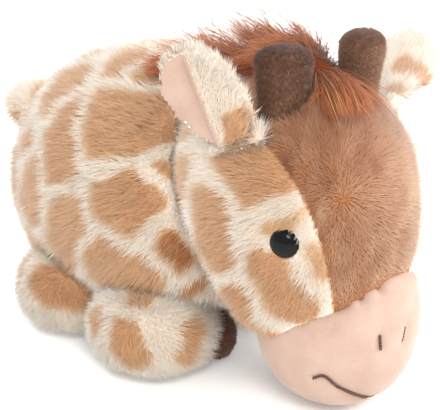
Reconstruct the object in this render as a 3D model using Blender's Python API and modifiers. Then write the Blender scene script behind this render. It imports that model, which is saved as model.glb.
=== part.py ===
import math

import bmesh
import bpy
from mathutils import Matrix, Vector
from mathutils.bvhtree import BVHTree

# A stuffed giraffe that lies on its belly. Metres, +Z up, the face looks along -Y,
# and the toy's right side is at -X. The origin is on the floor under the belly.

# Sewing and clearances
SEAM_GAP = 0.0004
TOUCH_GAP = 0.0003
STUFFING_GAP = 0.0008
TURN_GAP = 0.0007
FLOOR_OVERRUN = 0.0005
BODY_PILE = 0.004
HEAD_PILE = 0.004
CUT_REACH = 0.150
MERGE_DISTANCE = 0.00001

# Body, from the rump to the chest
BODY_LENGTH = 0.146
BODY_WIDTH = 0.122
BODY_HEIGHT = 0.1135
BODY_REAR_Y = 0.066
CHEST_Y = BODY_REAR_Y - BODY_LENGTH
BODY_SIDES = 12
BELLY_PANEL_HEIGHT = 0.0148
BELLY_PRESS = 0.0020
# along, half width, underside, back; all as shares of the length, half width and height
BODY_STATION_SHARES = (
    (0.045, 0.52, 0.24, 0.78), (0.20, 0.86, 0.05, 0.93), (0.42, 1.00, 0.00, 1.00),
    (0.64, 1.00, 0.00, 1.00), (0.84, 0.86, 0.06, 0.95), (0.955, 0.54, 0.24, 0.76),
)

# Neck: a ball of stuffing that the head tips and rolls on, placed from the chest
NECK_ASIDE = 0.0020
NECK_INSET = 0.0380
NECK_HEIGHT = 0.0700
NECK_CENTRE = Vector((-NECK_ASIDE, CHEST_Y + NECK_INSET, NECK_HEIGHT))
NECK_RADIUS = 0.0395
NECK_RISE = math.radians(28.0)
NECK_YAW = math.radians(-3.5)
NECK_BODY_EDGE = math.radians(63.0)
NECK_HEAD_EDGE = math.radians(52.5)
NECK_SIDES = 24
NECK_STEPS = 12

# Head, placed from the neck: turned a little to the toy's right and tipped to its left
HEAD_ASIDE = 0.0055
HEAD_AHEAD = 0.0510
HEAD_LIFT = 0.0160
HEAD_CENTRE = NECK_CENTRE + Vector((-HEAD_ASIDE, -HEAD_AHEAD, HEAD_LIFT))
HEAD_TURN = math.radians(-7.0)
HEAD_TIP = math.radians(3.5)
HEAD_WIDTH = 0.092
HEAD_FRONT = 0.057
HEAD_BACK = 0.056
HEAD_CROWN = 0.051
HEAD_CHIN = 0.058
HEAD_SIDES = 12
# down from the crown, half width, front, back; as shares
HEAD_STATION_SHARES = (
    (0.05, 0.46, 0.44, 0.46), (0.20, 0.84, 0.80, 0.82), (0.40, 1.00, 0.97, 1.00),
    (0.60, 1.00, 1.00, 0.95), (0.79, 0.88, 0.98, 0.74), (0.94, 0.60, 0.80, 0.36),
)
BLAZE_TOP_HALF_WIDTH = 0.0340
BLAZE_CHIN_HALF_WIDTH = 0.0110

# Muzzle, placed from the head's centre
MUZZLE_ASIDE = 0.0030
MUZZLE_AHEAD = 0.0275
MUZZLE_DROP = 0.0545
MUZZLE_OFFSET = Vector((MUZZLE_ASIDE, -MUZZLE_AHEAD, -MUZZLE_DROP))
MUZZLE_WIDTH = 0.067
MUZZLE_DEPTH = 0.070
MUZZLE_HEIGHT = 0.0643
MUZZLE_COVER = 0.0026
MUZZLE_SIDES = 12
MUZZLE_STATION_SHARES = ((0.08, 0.62), (0.30, 0.95), (0.55, 1.00), (0.80, 0.80), (0.94, 0.50))

# Eyes: a black dome on a ribbed shank, with a washer inside the cover
EYE_DIRECTION = Vector((-0.70, -0.71, -0.09))
EYE_DOME_RADIUS = 0.006
EYE_DOME_HEIGHT = 0.0042
EYE_FLANGE = 0.0009
EYE_SHANK_RADIUS = 0.0018
EYE_SHANK_LENGTH = 0.0125
EYE_RIB = 0.0004
EYE_RIB_COUNT = 4
EYE_SIDES = 14
WASHER_RADIUS = 0.0075
WASHER_THICKNESS = 0.0012
WASHER_SLACK = 0.0016

# Stitches on the muzzle
STITCH_RADIUS = 0.0006
STITCH_LIFT = 0.0005
# across and up, as shares of the muzzle's half width and half height
NOSTRIL_SHARES = ((-0.215, 0.40), (-0.20, 0.29), (-0.18, 0.18))
MOUTH_SHARES = (
    (-0.80, -0.29), (-0.73, -0.20), (-0.565, -0.39), (-0.335, -0.53), (-0.08, -0.63),
    (0.16, -0.60), (0.38, -0.50), (0.56, -0.36),
)

# Horns
HORN_DIRECTION = Vector((-0.40, -0.22, 0.89))
HORN_LENGTH = 0.0235
HORN_BASE_RADIUS = 0.0110
HORN_TOP_RADIUS = 0.0130
HORN_FLAT_SHARE = 0.78
HORN_TURN = math.radians(-32.0)
HORN_LEAN = math.radians(3.0)
HORN_CAP_SHARE = 0.85
HORN_ROOT = 0.008
HORN_SIDES = 16

# Ears: furry back and velour lining, hinged along the root seam
EAR_DIRECTION = Vector((-0.80, -0.12, 0.60))
EAR_ALONG_ROOT = Vector((-0.35, 0.80, -0.48))
EAR_UP = {"right": Vector((-0.42, 0.33, 0.84)), "left": Vector((-0.70, 0.12, 0.70))}
# the left ear flops back along its root and twists, so that its furry back faces up
EAR_LEAN = {"right": 0.0, "left": math.radians(27.5)}
EAR_TWIST = {"right": 0.0, "left": math.radians(-38.0)}
EAR_LENGTH = 0.047
EAR_ROOT_WIDTH = 0.028
EAR_WIDTH = 0.042
EAR_BACK_THICKNESS = 0.0030
EAR_LINING_THICKNESS = 0.0014
EAR_ROOT_RADIUS = 0.0030
EAR_ROOT_LIFT = 0.0005
EAR_ROOT_SIDES = 12
EAR_LAYER_GAP = 0.0004
EAR_LAYER_SIDES = 8
EAR_LINING_TRIM = 0.0030
EAR_LINING_START = 0.0060
EAR_CUP = 0.0050
# up the ear, half width, as shares of the length and half width
EAR_OUTLINE_SHARES = (
    (0.04, 0.62), (0.22, 0.88), (0.46, 1.02), (0.70, 1.00), (0.88, 0.78), (0.98, 0.42),
)

# Mane: a long-haired strip over the crown and another on the withers
MANE_WIDTH = 0.030
MANE_THICKNESS = 0.019
CROWN_MANE_FROM = math.radians(-24.0)
CROWN_MANE_TO = math.radians(36.0)
MANE_SIDES = 8
MANE_SEAT_SHARE = 0.45
# along the strip, half width, thickness
CROWN_MANE_SHARES = (
    (0.04, 0.26, 0.55), (0.20, 0.42, 0.90), (0.42, 0.66, 1.00), (0.66, 1.0, 1.00), (0.88, 1.0, 0.85),
)
WITHERS_MANE_SHARES = ((0.06, 0.90, 0.80), (0.30, 1.0, 1.0), (0.62, 0.90, 1.0), (0.88, 0.55, 0.65))
WITHERS_MANE_BEHIND_NECK = 0.0060
WITHERS_MANE_FRONT_Y = NECK_CENTRE.y + WITHERS_MANE_BEHIND_NECK
WITHERS_MANE_LENGTH = 0.046
WITHERS_MANE_WIDTH = 0.026
WITHERS_MANE_THICKNESS = 0.014

# Tail, placed from the rump
TAIL_INSET = 0.0060
TAIL_HEIGHT = 0.0660
TAIL_ROOT = Vector((0.0, BODY_REAR_Y - TAIL_INSET, TAIL_HEIGHT))
TAIL_RISE = math.radians(6.0)
TAIL_LENGTH = 0.039
TAIL_WIDTH = 0.026
TAIL_THICKNESS = 0.015
TAIL_BALL_RADIUS = 0.0055
TAIL_BALL_SIDES = 12
TAIL_BALL_STEPS = 8
TAIL_BODY_EDGE = math.radians(66.0)
TAIL_EDGE = math.radians(46.0)
TAIL_SIDES = 8
# along the tail, half width, thickness
TAIL_STATION_SHARES = (
    (0.10, 0.50, 0.70), (0.30, 0.84, 0.95), (0.55, 0.98, 1.05), (0.80, 1.05, 1.05), (0.95, 0.90, 0.80),
)

# Legs: short round stubs that swivel on the spot, each with a brown hoof pad
LEG_INSET = 0.0150
FRONT_LEG_FROM_CHEST = 0.0340
REAR_LEG_FROM_RUMP = 0.0590
FRONT_LEG_RADIUS = 0.0270
REAR_LEG_RADIUS = 0.0240
FRONT_LEG_HEIGHT = 0.0350
REAR_LEG_HEIGHT = 0.0340
LEG_CENTRES = {
    "front": Vector((LEG_INSET - BODY_WIDTH / 2, CHEST_Y + FRONT_LEG_FROM_CHEST, 0.0)),
    "rear": Vector((LEG_INSET - BODY_WIDTH / 2, BODY_REAR_Y - REAR_LEG_FROM_RUMP, 0.0)),
}
LEG_RADIUS = {"front": FRONT_LEG_RADIUS, "rear": REAR_LEG_RADIUS}
LEG_HEIGHT = {"front": FRONT_LEG_HEIGHT, "rear": REAR_LEG_HEIGHT}
LEG_SIDES = 16
LEG_PILE = 0.0035
# radius and height of the leg's outline, from the middle of its underside to its top
LEG_OUTLINE_SHARES = (
    (0.42, 0.0), (0.72, 0.09), (0.93, 0.27), (1.0, 0.50), (0.92, 0.72), (0.68, 0.90),
)
LEG_MOUTH_RADIUS = 0.0080
LEG_MOUTH_INWARD = 0.0100
HOOF_AZIMUTH = {"front": math.radians(-44.0), "rear": math.radians(40.0)}
HOOF_RADIUS = 0.0105
HOOF_THICKNESS = 0.0080
HOOF_HEIGHT = 0.0120
HOOF_SWEEP = 0.0085
HOOF_SIDES = 14
LEG_SWING_CLEARANCE = 0.0015

SIDES = {"right": 1, "left": -1}

# Colour (linear) and roughness of each material
CREAM_PLUSH = ((0.86, 0.78, 0.69), 0.95)
TAN_PLUSH = ((0.60, 0.37, 0.20), 0.95)
BLAZE_PLUSH = ((0.47, 0.27, 0.15), 0.95)
MANE_PLUSH = ((0.33, 0.10, 0.035), 0.90)
BROWN_VELOUR = ((0.13, 0.07, 0.05), 0.90)
PINK_VELOUR = ((0.84, 0.64, 0.54), 0.90)
FIBRE = ((0.90, 0.90, 0.88), 1.0)
BLACK_PLASTIC = ((0.01, 0.01, 0.012), 0.08)
WHITE_PLASTIC = ((0.80, 0.80, 0.78), 0.5)
BROWN_THREAD = ((0.10, 0.045, 0.03), 0.6)


def start_clean():
    for item in list(bpy.data.objects):
        bpy.data.objects.remove(item, do_unlink=True)


def new_collection(name):
    collection = bpy.data.collections.new(name)
    bpy.context.scene.collection.children.link(collection)
    return collection


def place(name, mesh, look, parent=None):
    """Put a finished mesh into the giraffe as one named piece with its own material."""
    colour, roughness = look
    material = bpy.data.materials.new(name)
    material.use_nodes = True
    shader = material.node_tree.nodes["Principled BSDF"]
    shader.inputs["Base Color"].default_value = (*colour, 1.0)
    shader.inputs["Roughness"].default_value = roughness
    shader.inputs["Metallic"].default_value = 0.0
    piece = bpy.data.objects.new(name, mesh)
    mesh.materials.clear()
    mesh.materials.append(material)
    mesh.shade_smooth()
    mesh.set_sharp_from_angle(angle=math.radians(50.0))
    parts.objects.link(piece)
    piece.parent = parent
    return piece


def place_cutter(name, mesh, parent=None):
    cutter = bpy.data.objects.new(name, mesh)
    cutters.objects.link(cutter)
    cutter.hide_render = True
    cutter.display_type = 'WIRE'
    cutter.parent = parent
    return cutter


def add_frame(name, location, rotation=None, parent=None):
    frame = bpy.data.objects.new(name, None)
    parts.objects.link(frame)
    frame.parent = parent
    turned_frame = rotation.to_4x4() if rotation else Matrix.Identity(4)
    frame.matrix_local = Matrix.Translation(location) @ turned_frame
    bpy.context.view_layer.update()
    return frame


def cut(piece, *tools, operation='DIFFERENCE', solver='EXACT'):
    for tool in tools:
        boolean = piece.modifiers.new(tool.name, 'BOOLEAN')
        boolean.operation = operation
        boolean.object = tool
        boolean.solver = solver


def finished_mesh(item):
    """The mesh of an object with its modifiers applied, in the object's own frame."""
    graph = bpy.context.evaluated_depsgraph_get()
    mesh = bpy.data.meshes.new_from_object(item.evaluated_get(graph))
    bpy.data.objects.remove(item, do_unlink=True)
    return mesh


def mesh_from(bm, name):
    mesh = bpy.data.meshes.new(name)
    bm.to_mesh(mesh)
    bm.free()
    return mesh


def soft_form(name, sides, stations, ring_point, ends, level=1):
    """A swelling form: a coarse ball-shaped cage set to its stations, then subdivided.

    ring_point(station, angle) gives a cage point, and ends are the two poles."""
    bm = bmesh.new()
    rings = len(stations)
    bmesh.ops.create_uvsphere(bm, u_segments=sides, v_segments=rings + 1, radius=1.0)
    for vert in bm.verts:
        ring = round(math.acos(max(-1.0, min(1.0, vert.co.z))) * (rings + 1) / math.pi)
        if ring == 0:
            vert.co = ends[0]
        elif ring == rings + 1:
            vert.co = ends[1]
        else:
            vert.co = ring_point(stations[ring - 1], math.atan2(vert.co.y, vert.co.x))
    bm.normal_update()
    bmesh.ops.recalc_face_normals(bm, faces=bm.faces)
    cage = place_cutter(name + "_cage", mesh_from(bm, name))
    if level:
        smooth = cage.modifiers.new("Rounding", 'SUBSURF')
        smooth.levels = level
        smooth.render_levels = level
    return finished_mesh(cage)


def fit_box(mesh, low, high):
    """Stretch a mesh to fill the box from low to high."""
    have_low = Vector([min(v.co[i] for v in mesh.vertices) for i in range(3)])
    have_high = Vector([max(v.co[i] for v in mesh.vertices) for i in range(3)])
    for vert in mesh.vertices:
        for i in range(3):
            part = (vert.co[i] - have_low[i]) / (have_high[i] - have_low[i])
            vert.co[i] = low[i] + part * (high[i] - low[i])
    mesh.update()


def press_flat(mesh, to_world=None, lift=0.0):
    """Flatten what reaches below the floor, as the toy's own weight does."""
    frame = to_world or Matrix.Identity(4)
    back = frame.inverted()
    for vert in mesh.vertices:
        spot = frame @ vert.co
        if spot.z < lift:
            spot.z = lift
            vert.co = back @ spot
    mesh.update()


def turned(name, profile, sides):
    """Spin a profile of (radius, height) about +Z; the profile runs top to bottom."""
    bm = bmesh.new()
    points = [bm.verts.new((radius, 0.0, height)) for radius, height in profile]
    for first, second in zip(points, points[1:]):
        bm.edges.new((first, second))
    blank = place_cutter(name, mesh_from(bm, name))
    spin = blank.modifiers.new("Turning", 'SCREW')
    spin.axis = 'Z'
    spin.steps = sides
    spin.render_steps = sides
    spin.use_merge_vertices = True
    spin.merge_threshold = MERGE_DISTANCE
    spin.use_normal_calculate = True
    mesh = finished_mesh(blank)
    bm = bmesh.new()
    bm.from_mesh(mesh)
    bmesh.ops.recalc_face_normals(bm, faces=bm.faces)
    bm.to_mesh(mesh)
    bm.free()
    return mesh


def arc(radius, start, end, steps):
    """Points (radius, height) on a circle about the axis, angles measured from +Z."""
    angles = [start + (end - start) * i / steps for i in range(steps + 1)]
    return [(radius * math.sin(a), radius * math.cos(a)) for a in angles]


def block(name, low, high):
    bm = bmesh.new()
    bmesh.ops.create_cube(bm, size=1.0)
    size = high - low
    for vert in bm.verts:
        vert.co = low + Vector([(vert.co[i] + 0.5) * size[i] for i in range(3)])
    return place_cutter(name, mesh_from(bm, name))


def mirrored(mesh, name):
    copy = mesh.copy()
    copy.name = name
    copy.transform(Matrix.Scale(-1.0, 4, Vector((1.0, 0.0, 0.0))))
    copy.flip_normals()
    return copy


def flipped(vector, side):
    """The same place on the toy's right (as given) or left."""
    return Vector((vector.x * SIDES[side], vector.y, vector.z))


def along(direction, across):
    """A rotation whose Z runs along direction and whose X is nearest to across."""
    z_axis = direction.normalized()
    x_axis = (across - across.dot(z_axis) * z_axis).normalized()
    y_axis = z_axis.cross(x_axis)
    return Matrix((x_axis, y_axis, z_axis)).transposed()


def surface_point(mesh, origin, direction):
    """Where a ray from inside a form leaves it, with the outward normal there."""
    bm = bmesh.new()
    bm.from_mesh(mesh)
    tree = BVHTree.FromBMesh(bm)
    bm.free()
    spot, normal, _, _ = tree.ray_cast(origin, direction.normalized())
    return spot, normal


def body_form(grow=0.0, sides=BODY_SIDES, level=1):
    """The body swells from the rump to the shoulders; grow is negative for what lies inside."""
    def ring_point(station, angle):
        share, width, low, high = station
        middle = (low + high) / 2
        half = (high - low) / 2
        return Vector((width * math.cos(angle), -share, middle + half * math.sin(angle)))
    ends = (Vector((0.0, 0.0, 0.5)), Vector((0.0, -1.0, 0.5)))
    mesh = soft_form("body", sides, BODY_STATION_SHARES, ring_point, ends, level)
    low = Vector((-BODY_WIDTH / 2 - grow, BODY_REAR_Y - BODY_LENGTH - grow, -BELLY_PRESS - grow))
    high = Vector((BODY_WIDTH / 2 + grow, BODY_REAR_Y + grow, BODY_HEIGHT + grow))
    fit_box(mesh, low, high)
    return mesh


def head_form(grow=0.0, level=1):
    """The skull and cheeks, from the crown down to the chin, in the head's frame."""
    def ring_point(station, angle):
        share, width, front, back = station
        reach = back * HEAD_BACK if math.sin(angle) > 0 else front * HEAD_FRONT
        return Vector((width * math.cos(angle) * HEAD_WIDTH / 2, reach * math.sin(angle),
                       HEAD_CROWN - share * (HEAD_CROWN + HEAD_CHIN)))
    chin_back = HEAD_FRONT * -0.25
    ends = (Vector((0.0, 0.0, HEAD_CROWN)), Vector((0.0, chin_back, -HEAD_CHIN)))
    mesh = soft_form("head", HEAD_SIDES, HEAD_STATION_SHARES, ring_point, ends, level)
    low = Vector((-HEAD_WIDTH / 2 - grow, -HEAD_FRONT - grow, -HEAD_CHIN - grow))
    high = Vector((HEAD_WIDTH / 2 + grow, HEAD_BACK + grow, HEAD_CROWN + grow))
    fit_box(mesh, low, high)
    return mesh


def muzzle_form(grow=0.0, level=1):
    def ring_point(station, angle):
        share, width = station
        return Vector((width * math.cos(angle), width * math.sin(angle), 1.0 - 2.0 * share))
    ends = (Vector((0.0, 0.0, 1.0)), Vector((0.0, 0.0, -1.0)))
    mesh = soft_form("muzzle", MUZZLE_SIDES, MUZZLE_STATION_SHARES, ring_point, ends, level)
    half = Vector((MUZZLE_WIDTH / 2 + grow, MUZZLE_DEPTH / 2 + grow, MUZZLE_HEIGHT / 2 + grow))
    fit_box(mesh, MUZZLE_OFFSET - half, MUZZLE_OFFSET + half)
    return mesh


def leg_outline(which, grow=0.0, floor=0.0):
    """The turned outline of a leg, top to bottom; a clearance reaches through the floor."""
    radius = LEG_RADIUS[which] + grow
    height = LEG_HEIGHT[which] + grow - floor
    points = [(radius * r, floor + height * h) for r, h in reversed(LEG_OUTLINE_SHARES)]
    return [(0.0, floor + height)] + points + [(0.0, points[-1][1])]


def neck_direction():
    level = Vector((math.sin(NECK_YAW), -math.cos(NECK_YAW), 0.0))
    return (level * math.cos(NECK_RISE) + Vector((0.0, 0.0, math.sin(NECK_RISE)))).normalized()


def joint_seats(name, frame, socket, core, parent_edge, child_edge):
    """Two turned cutters about a ball: one opens the carrying piece, one trims the moving piece.

    Both are turned about the frame's +Z, so nothing meets when the piece tips on the ball."""
    reach = CUT_REACH
    opening = [(0.0, reach), (reach * math.sin(parent_edge), reach)]
    opening += [(reach * math.sin(parent_edge), reach * math.cos(parent_edge))]
    opening += arc(socket, parent_edge, math.pi, 10)
    trim = arc(core, 0.0, child_edge, 6)
    trim += [(reach * math.sin(child_edge), reach * math.cos(child_edge))]
    trim += [(reach * math.sin(child_edge), -reach), (0.0, -reach)]
    opener = place_cutter(name + "_opening", turned(name + "_opening", opening, NECK_SIDES), frame)
    trimmer = place_cutter(name + "_trim", turned(name + "_trim", trim, NECK_SIDES), frame)
    return opener, trimmer


def build_body(rooms, neck_opening, tail_opening):
    """Two side covers, a belly panel and the stuffing."""
    form = body_form()
    inside = body_form(-BODY_PILE, level=0)
    hollow = body_form(STUFFING_GAP - BODY_PILE, level=0)
    press_flat(inside, lift=BODY_PILE)
    press_flat(hollow, lift=BODY_PILE - STUFFING_GAP)
    hollow_tool = place_cutter("body_hollow", hollow)
    far = CUT_REACH
    half_seam = SEAM_GAP / 2
    seam_height = BELLY_PANEL_HEIGHT
    low_corner = Vector((-far, -far, -far))
    high_corner = Vector((far, far, far))
    below = block("below_belly_seam", low_corner, Vector((far, far, seam_height + half_seam)))
    above = block("above_belly_seam", Vector((-far, -far, seam_height - half_seam)), high_corner)
    floor = block("floor", low_corner, Vector((far, far, 0.0)))
    halves = {
        "right": block("left_of_spine", Vector((-half_seam, -far, -far)), high_corner),
        "left": block("right_of_spine", low_corner, Vector((half_seam, far, far))),
    }
    for side, half in halves.items():
        cover = place("body_cover_" + side, form.copy(), TAN_PLUSH)
        cut(cover, half, below, *rooms, neck_opening, tail_opening, hollow_tool, solver='MANIFOLD')
    belly = place("belly_panel", form.copy(), CREAM_PLUSH)
    cut(belly, above, floor, *rooms, hollow_tool, solver='MANIFOLD')
    stuffing = place("body_filling", inside, FIBRE)
    cut(stuffing, *rooms, neck_opening, tail_opening, solver='MANIFOLD')


def build_legs():
    """Four stubs, each a fur cover, its stuffing and a hoof pad. Returns the rooms they turn in."""
    rooms = []
    for which, centre in LEG_CENTRES.items():
        outer = turned("leg", leg_outline(which), LEG_SIDES)
        room = turned("leg_room", leg_outline(which, TURN_GAP, -FLOOR_OVERRUN), LEG_SIDES)
        seat = turned("leg_seat", leg_outline(which, TOUCH_GAP, -FLOOR_OVERRUN), LEG_SIDES)
        inner = turned("leg_inside", leg_outline(which, -LEG_PILE, LEG_PILE), LEG_SIDES)
        wall = LEG_PILE - TOUCH_GAP
        hollow = turned("leg_hollow", leg_outline(which, -wall, wall), LEG_SIDES)
        for side in SIDES:
            name = "leg_" + which + "_" + side
            pivot = add_frame(name + "_pivot", flipped(centre, side))
            azimuth = HOOF_AZIMUTH[which]
            outward = flipped(Vector((math.cos(azimuth), math.sin(azimuth), 0.0)), side)
            hoof, hoof_room = hoof_meshes(name, which, outward)
            rooms.append(place_cutter(name + "_room", room.copy(), pivot))
            rooms.append(place_cutter(name + "_hoof_room", hoof_room, pivot))
            cover = place(name + "_cover", outer.copy(), CREAM_PLUSH, pivot)
            hollow_tool = place_cutter(name + "_hollow", hollow.copy(), pivot)
            cut(cover, hollow_tool, place_cutter(name + "_mouth", leg_mouth(which, side), pivot))
            place(name + "_filling", inner.copy(), FIBRE, pivot)
            pad = place(name + "_hoof", hoof, BROWN_VELOUR, pivot)
            cut(pad, place_cutter(name + "_hoof_seat", seat.copy(), pivot))
    return rooms


def leg_mouth(which, side):
    """The opening at the top of a leg's cover, where its stuffing meets the body's."""
    top = LEG_HEIGHT[which] * 1.5
    bottom = LEG_HEIGHT[which] / 2
    outline = [(0.0, top), (LEG_MOUTH_RADIUS, top), (LEG_MOUTH_RADIUS, bottom), (0.0, bottom)]
    mesh = turned("mouth", outline, LEG_SIDES)
    mesh.transform(Matrix.Translation(flipped(Vector((LEG_MOUTH_INWARD, 0.0, 0.0)), side)))
    return mesh


def hoof_meshes(name, which, outward):
    """A domed pad on the side of the leg, and the room that it sweeps when the leg turns."""
    start = LEG_RADIUS[which] * 0.6
    rim = LEG_RADIUS[which] + HOOF_THICKNESS * 0.1
    dome = [(0.0, LEG_RADIUS[which] + HOOF_THICKNESS)]
    for share in (0.45, 0.8, 0.97):
        rise = HOOF_THICKNESS * 0.9 * math.sqrt(1.0 - share * share)
        dome.append((HOOF_RADIUS * share, rim + rise))
    dome += [(HOOF_RADIUS, rim), (HOOF_RADIUS, start), (0.0, start)]
    pad = turned(name + "_pad", dome, HOOF_SIDES)
    room_radius = HOOF_RADIUS + TURN_GAP
    end = LEG_RADIUS[which] + HOOF_THICKNESS + LEG_SWING_CLEARANCE
    outline = [(0.0, end), (room_radius, end), (room_radius, start), (0.0, start)]
    room = turned(name + "_sweep", outline, HOOF_SIDES)
    for vert in room.vertices:
        if abs(vert.co.x) > MERGE_DISTANCE:
            vert.co.x += math.copysign(HOOF_SWEEP, vert.co.x)
    turn = along(outward, outward.cross(Vector((0.0, 0.0, 1.0)))).to_4x4()
    lift = Matrix.Translation(Vector((0.0, 0.0, HOOF_HEIGHT)))
    pad.transform(lift @ turn)
    room.transform(lift @ turn)
    return pad, room


def seam_block(side, outward, frame):
    """A block that ends on one of the slanting seams beside the blaze.

    It reaches outward from the seam, or over the blaze and on."""
    far = CUT_REACH
    name = ("beyond_blaze_" if outward else "over_blaze_") + side
    tool = block(name, Vector((-far, -far, -far)), Vector((far, far, far)))
    slope = (BLAZE_TOP_HALF_WIDTH - BLAZE_CHIN_HALF_WIDTH) / (HEAD_CROWN + HEAD_CHIN)
    for vert in tool.data.vertices:
        seam = BLAZE_TOP_HALF_WIDTH + slope * (vert.co.z - HEAD_CROWN)
        if outward and vert.co.x > 0:
            vert.co.x = -seam + SEAM_GAP / 2
        elif not outward and vert.co.x < 0:
            vert.co.x = -seam - SEAM_GAP / 2
    if side == "left":
        tool.data = mirrored(tool.data, name)
    tool.parent = frame
    return tool


def build_head(frame, neck_trim):
    """Two patterned sides, the brown blaze between them, and the stuffing."""
    form = head_form()
    hollow_tool = place_cutter("head_hollow", head_form(STUFFING_GAP - HEAD_PILE, level=0), frame)
    pieces = {}
    for side in SIDES:
        cover = place("head_side_" + side, form.copy(), TAN_PLUSH, frame)
        cut(cover, hollow_tool, seam_block(side, False, frame), neck_trim)
        pieces[side] = cover
    blaze = place("face_blaze", form.copy(), BLAZE_PLUSH, frame)
    cut(blaze, hollow_tool, *[seam_block(side, True, frame) for side in SIDES], neck_trim)
    stuffing = place("head_filling", head_form(-HEAD_PILE, level=0), FIBRE, frame)
    cut(stuffing, neck_trim, solver='MANIFOLD')
    pieces["filling"] = stuffing
    pieces["blaze"] = blaze
    return form, pieces


def build_muzzle(frame):
    """The velour muzzle, open where it is sewn to the face, and its stuffing."""
    room_tool = place_cutter("muzzle_seat", head_form(TOUCH_GAP), frame)
    form = muzzle_form()
    inside = muzzle_form(-MUZZLE_COVER, level=0)
    hollow = muzzle_form(STUFFING_GAP - MUZZLE_COVER, level=0)
    press_flat(form, frame.matrix_world)
    press_flat(inside, frame.matrix_world, MUZZLE_COVER)
    press_flat(hollow, frame.matrix_world, MUZZLE_COVER - STUFFING_GAP)
    cover = place("muzzle_cover", form.copy(), PINK_VELOUR, frame)
    cut(cover, place_cutter("muzzle_hollow", hollow, frame), room_tool)
    stuffing = place("muzzle_filling", inside, FIBRE, frame)
    cut(stuffing, room_tool)
    return form


def build_eyes(form, head_pieces, head):
    """Each eye's shank goes through the cover and is held by a washer on the inside."""
    rib = EYE_SHANK_RADIUS + EYE_RIB
    grip = HEAD_PILE + WASHER_SLACK
    pitch = (EYE_SHANK_LENGTH - HEAD_PILE) / (EYE_RIB_COUNT + 1)
    dome_ball = (EYE_DOME_RADIUS ** 2 + EYE_DOME_HEIGHT ** 2) / (2 * EYE_DOME_HEIGHT)
    edge = math.asin(EYE_DOME_RADIUS / dome_ball)
    drop = dome_ball - EYE_DOME_HEIGHT - EYE_FLANGE
    profile = [(radius, height - drop) for radius, height in arc(dome_ball, 0.0, edge, 6)]
    profile += [(EYE_DOME_RADIUS, 0.0), (EYE_SHANK_RADIUS, 0.0)]
    for count in range(EYE_RIB_COUNT):
        top = -HEAD_PILE - pitch * count
        profile += [(EYE_SHANK_RADIUS, top), (rib, top), (EYE_SHANK_RADIUS, top - pitch)]
    profile += [(EYE_SHANK_RADIUS, -EYE_SHANK_LENGTH), (0.0, -EYE_SHANK_LENGTH)]
    eye_mesh = turned("eye", profile, EYE_SIDES)
    hole_radius = rib + TOUCH_GAP
    reach = EYE_SHANK_LENGTH + TOUCH_GAP
    bore = [(0.0, reach), (hole_radius, reach), (hole_radius, -reach), (0.0, -reach)]
    hole = turned("hole", bore, EYE_SIDES)
    seat_radius = WASHER_RADIUS + TOUCH_GAP
    seat_top = TOUCH_GAP - grip
    seat_bottom = -grip - WASHER_THICKNESS - TOUCH_GAP
    outline = [(0.0, seat_top), (seat_radius, seat_top), (seat_radius, seat_bottom), (0.0, seat_bottom)]
    washer_seat = turned("washer_seat", outline, EYE_SIDES)
    disc = [(0.0, -grip), (WASHER_RADIUS, -grip)]
    disc += [(WASHER_RADIUS, -grip - WASHER_THICKNESS), (0.0, -grip - WASHER_THICKNESS)]
    for side in SIDES:
        spot, normal = surface_point(form, Vector((0.0, 0.0, 0.0)), flipped(EYE_DIRECTION, side))
        turn = along(normal, Vector((0.0, 0.0, 1.0)))
        seat = add_frame("eye_" + side + "_seat", spot + normal * TOUCH_GAP, turn, head)
        place("eye_" + side, eye_mesh.copy(), BLACK_PLASTIC, seat)
        hole_tool = place_cutter("eye_" + side + "_hole", hole.copy(), seat)
        washer = place("eye_washer_" + side, turned("washer", disc, EYE_SIDES), WHITE_PLASTIC, seat)
        cut(washer, hole_tool)
        washer_tool = place_cutter("eye_washer_" + side + "_seat", washer_seat.copy(), seat)
        cut(head_pieces[side], hole_tool, washer_tool)
        cut(head_pieces["filling"], hole_tool, washer_tool, solver='MANIFOLD')


def thread_mesh(name, points):
    """A thick stitch: a round thread laid through the points."""
    data = bpy.data.curves.new(name, 'CURVE')
    data.dimensions = '3D'
    data.bevel_depth = STITCH_RADIUS
    data.bevel_resolution = 1
    data.use_fill_caps = True
    spline = data.splines.new('POLY')
    spline.points.add(len(points) - 1)
    for spot, point in zip(spline.points, points):
        spot.co = (*point, 1.0)
    curve = bpy.data.objects.new(name, data)
    cutters.objects.link(curve)
    mesh = finished_mesh(curve)
    bm = bmesh.new()
    bm.from_mesh(mesh)
    bmesh.ops.remove_doubles(bm, verts=bm.verts, dist=MERGE_DISTANCE)
    bmesh.ops.recalc_face_normals(bm, faces=bm.faces)
    bm.to_mesh(mesh)
    bm.free()
    return mesh


def build_stitches(form, head):
    """A nostril on each side of the nose and a wide mouth, laid on the velour."""
    half = Vector((MUZZLE_WIDTH / 2, MUZZLE_DEPTH / 2, MUZZLE_HEIGHT / 2))
    lift = STITCH_RADIUS + STITCH_LIFT

    def laid(shares):
        points = []
        for across, up in shares:
            start = MUZZLE_OFFSET + Vector((across * half.x, 0.0, up * half.z))
            spot, normal = surface_point(form, start, Vector((0.0, -1.0, 0.0)))
            points.append(spot + normal * lift)
        return points

    def between(shares, steps):
        path = []
        for first, second in zip(shares, shares[1:]):
            for step in range(steps):
                part = step / steps
                path.append([a + (b - a) * part for a, b in zip(first, second)])
        return path + [shares[-1]]

    for side, sign in SIDES.items():
        shares = [(across * sign, up) for across, up in NOSTRIL_SHARES]
        mesh = thread_mesh("nostril", laid(between(shares, 3)))
        place("nostril_stitch_" + side, mesh, BROWN_THREAD, head)
    mesh = thread_mesh("mouth", laid(between(MOUTH_SHARES, 3)))
    place("mouth_stitch", mesh, BROWN_THREAD, head)


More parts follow.
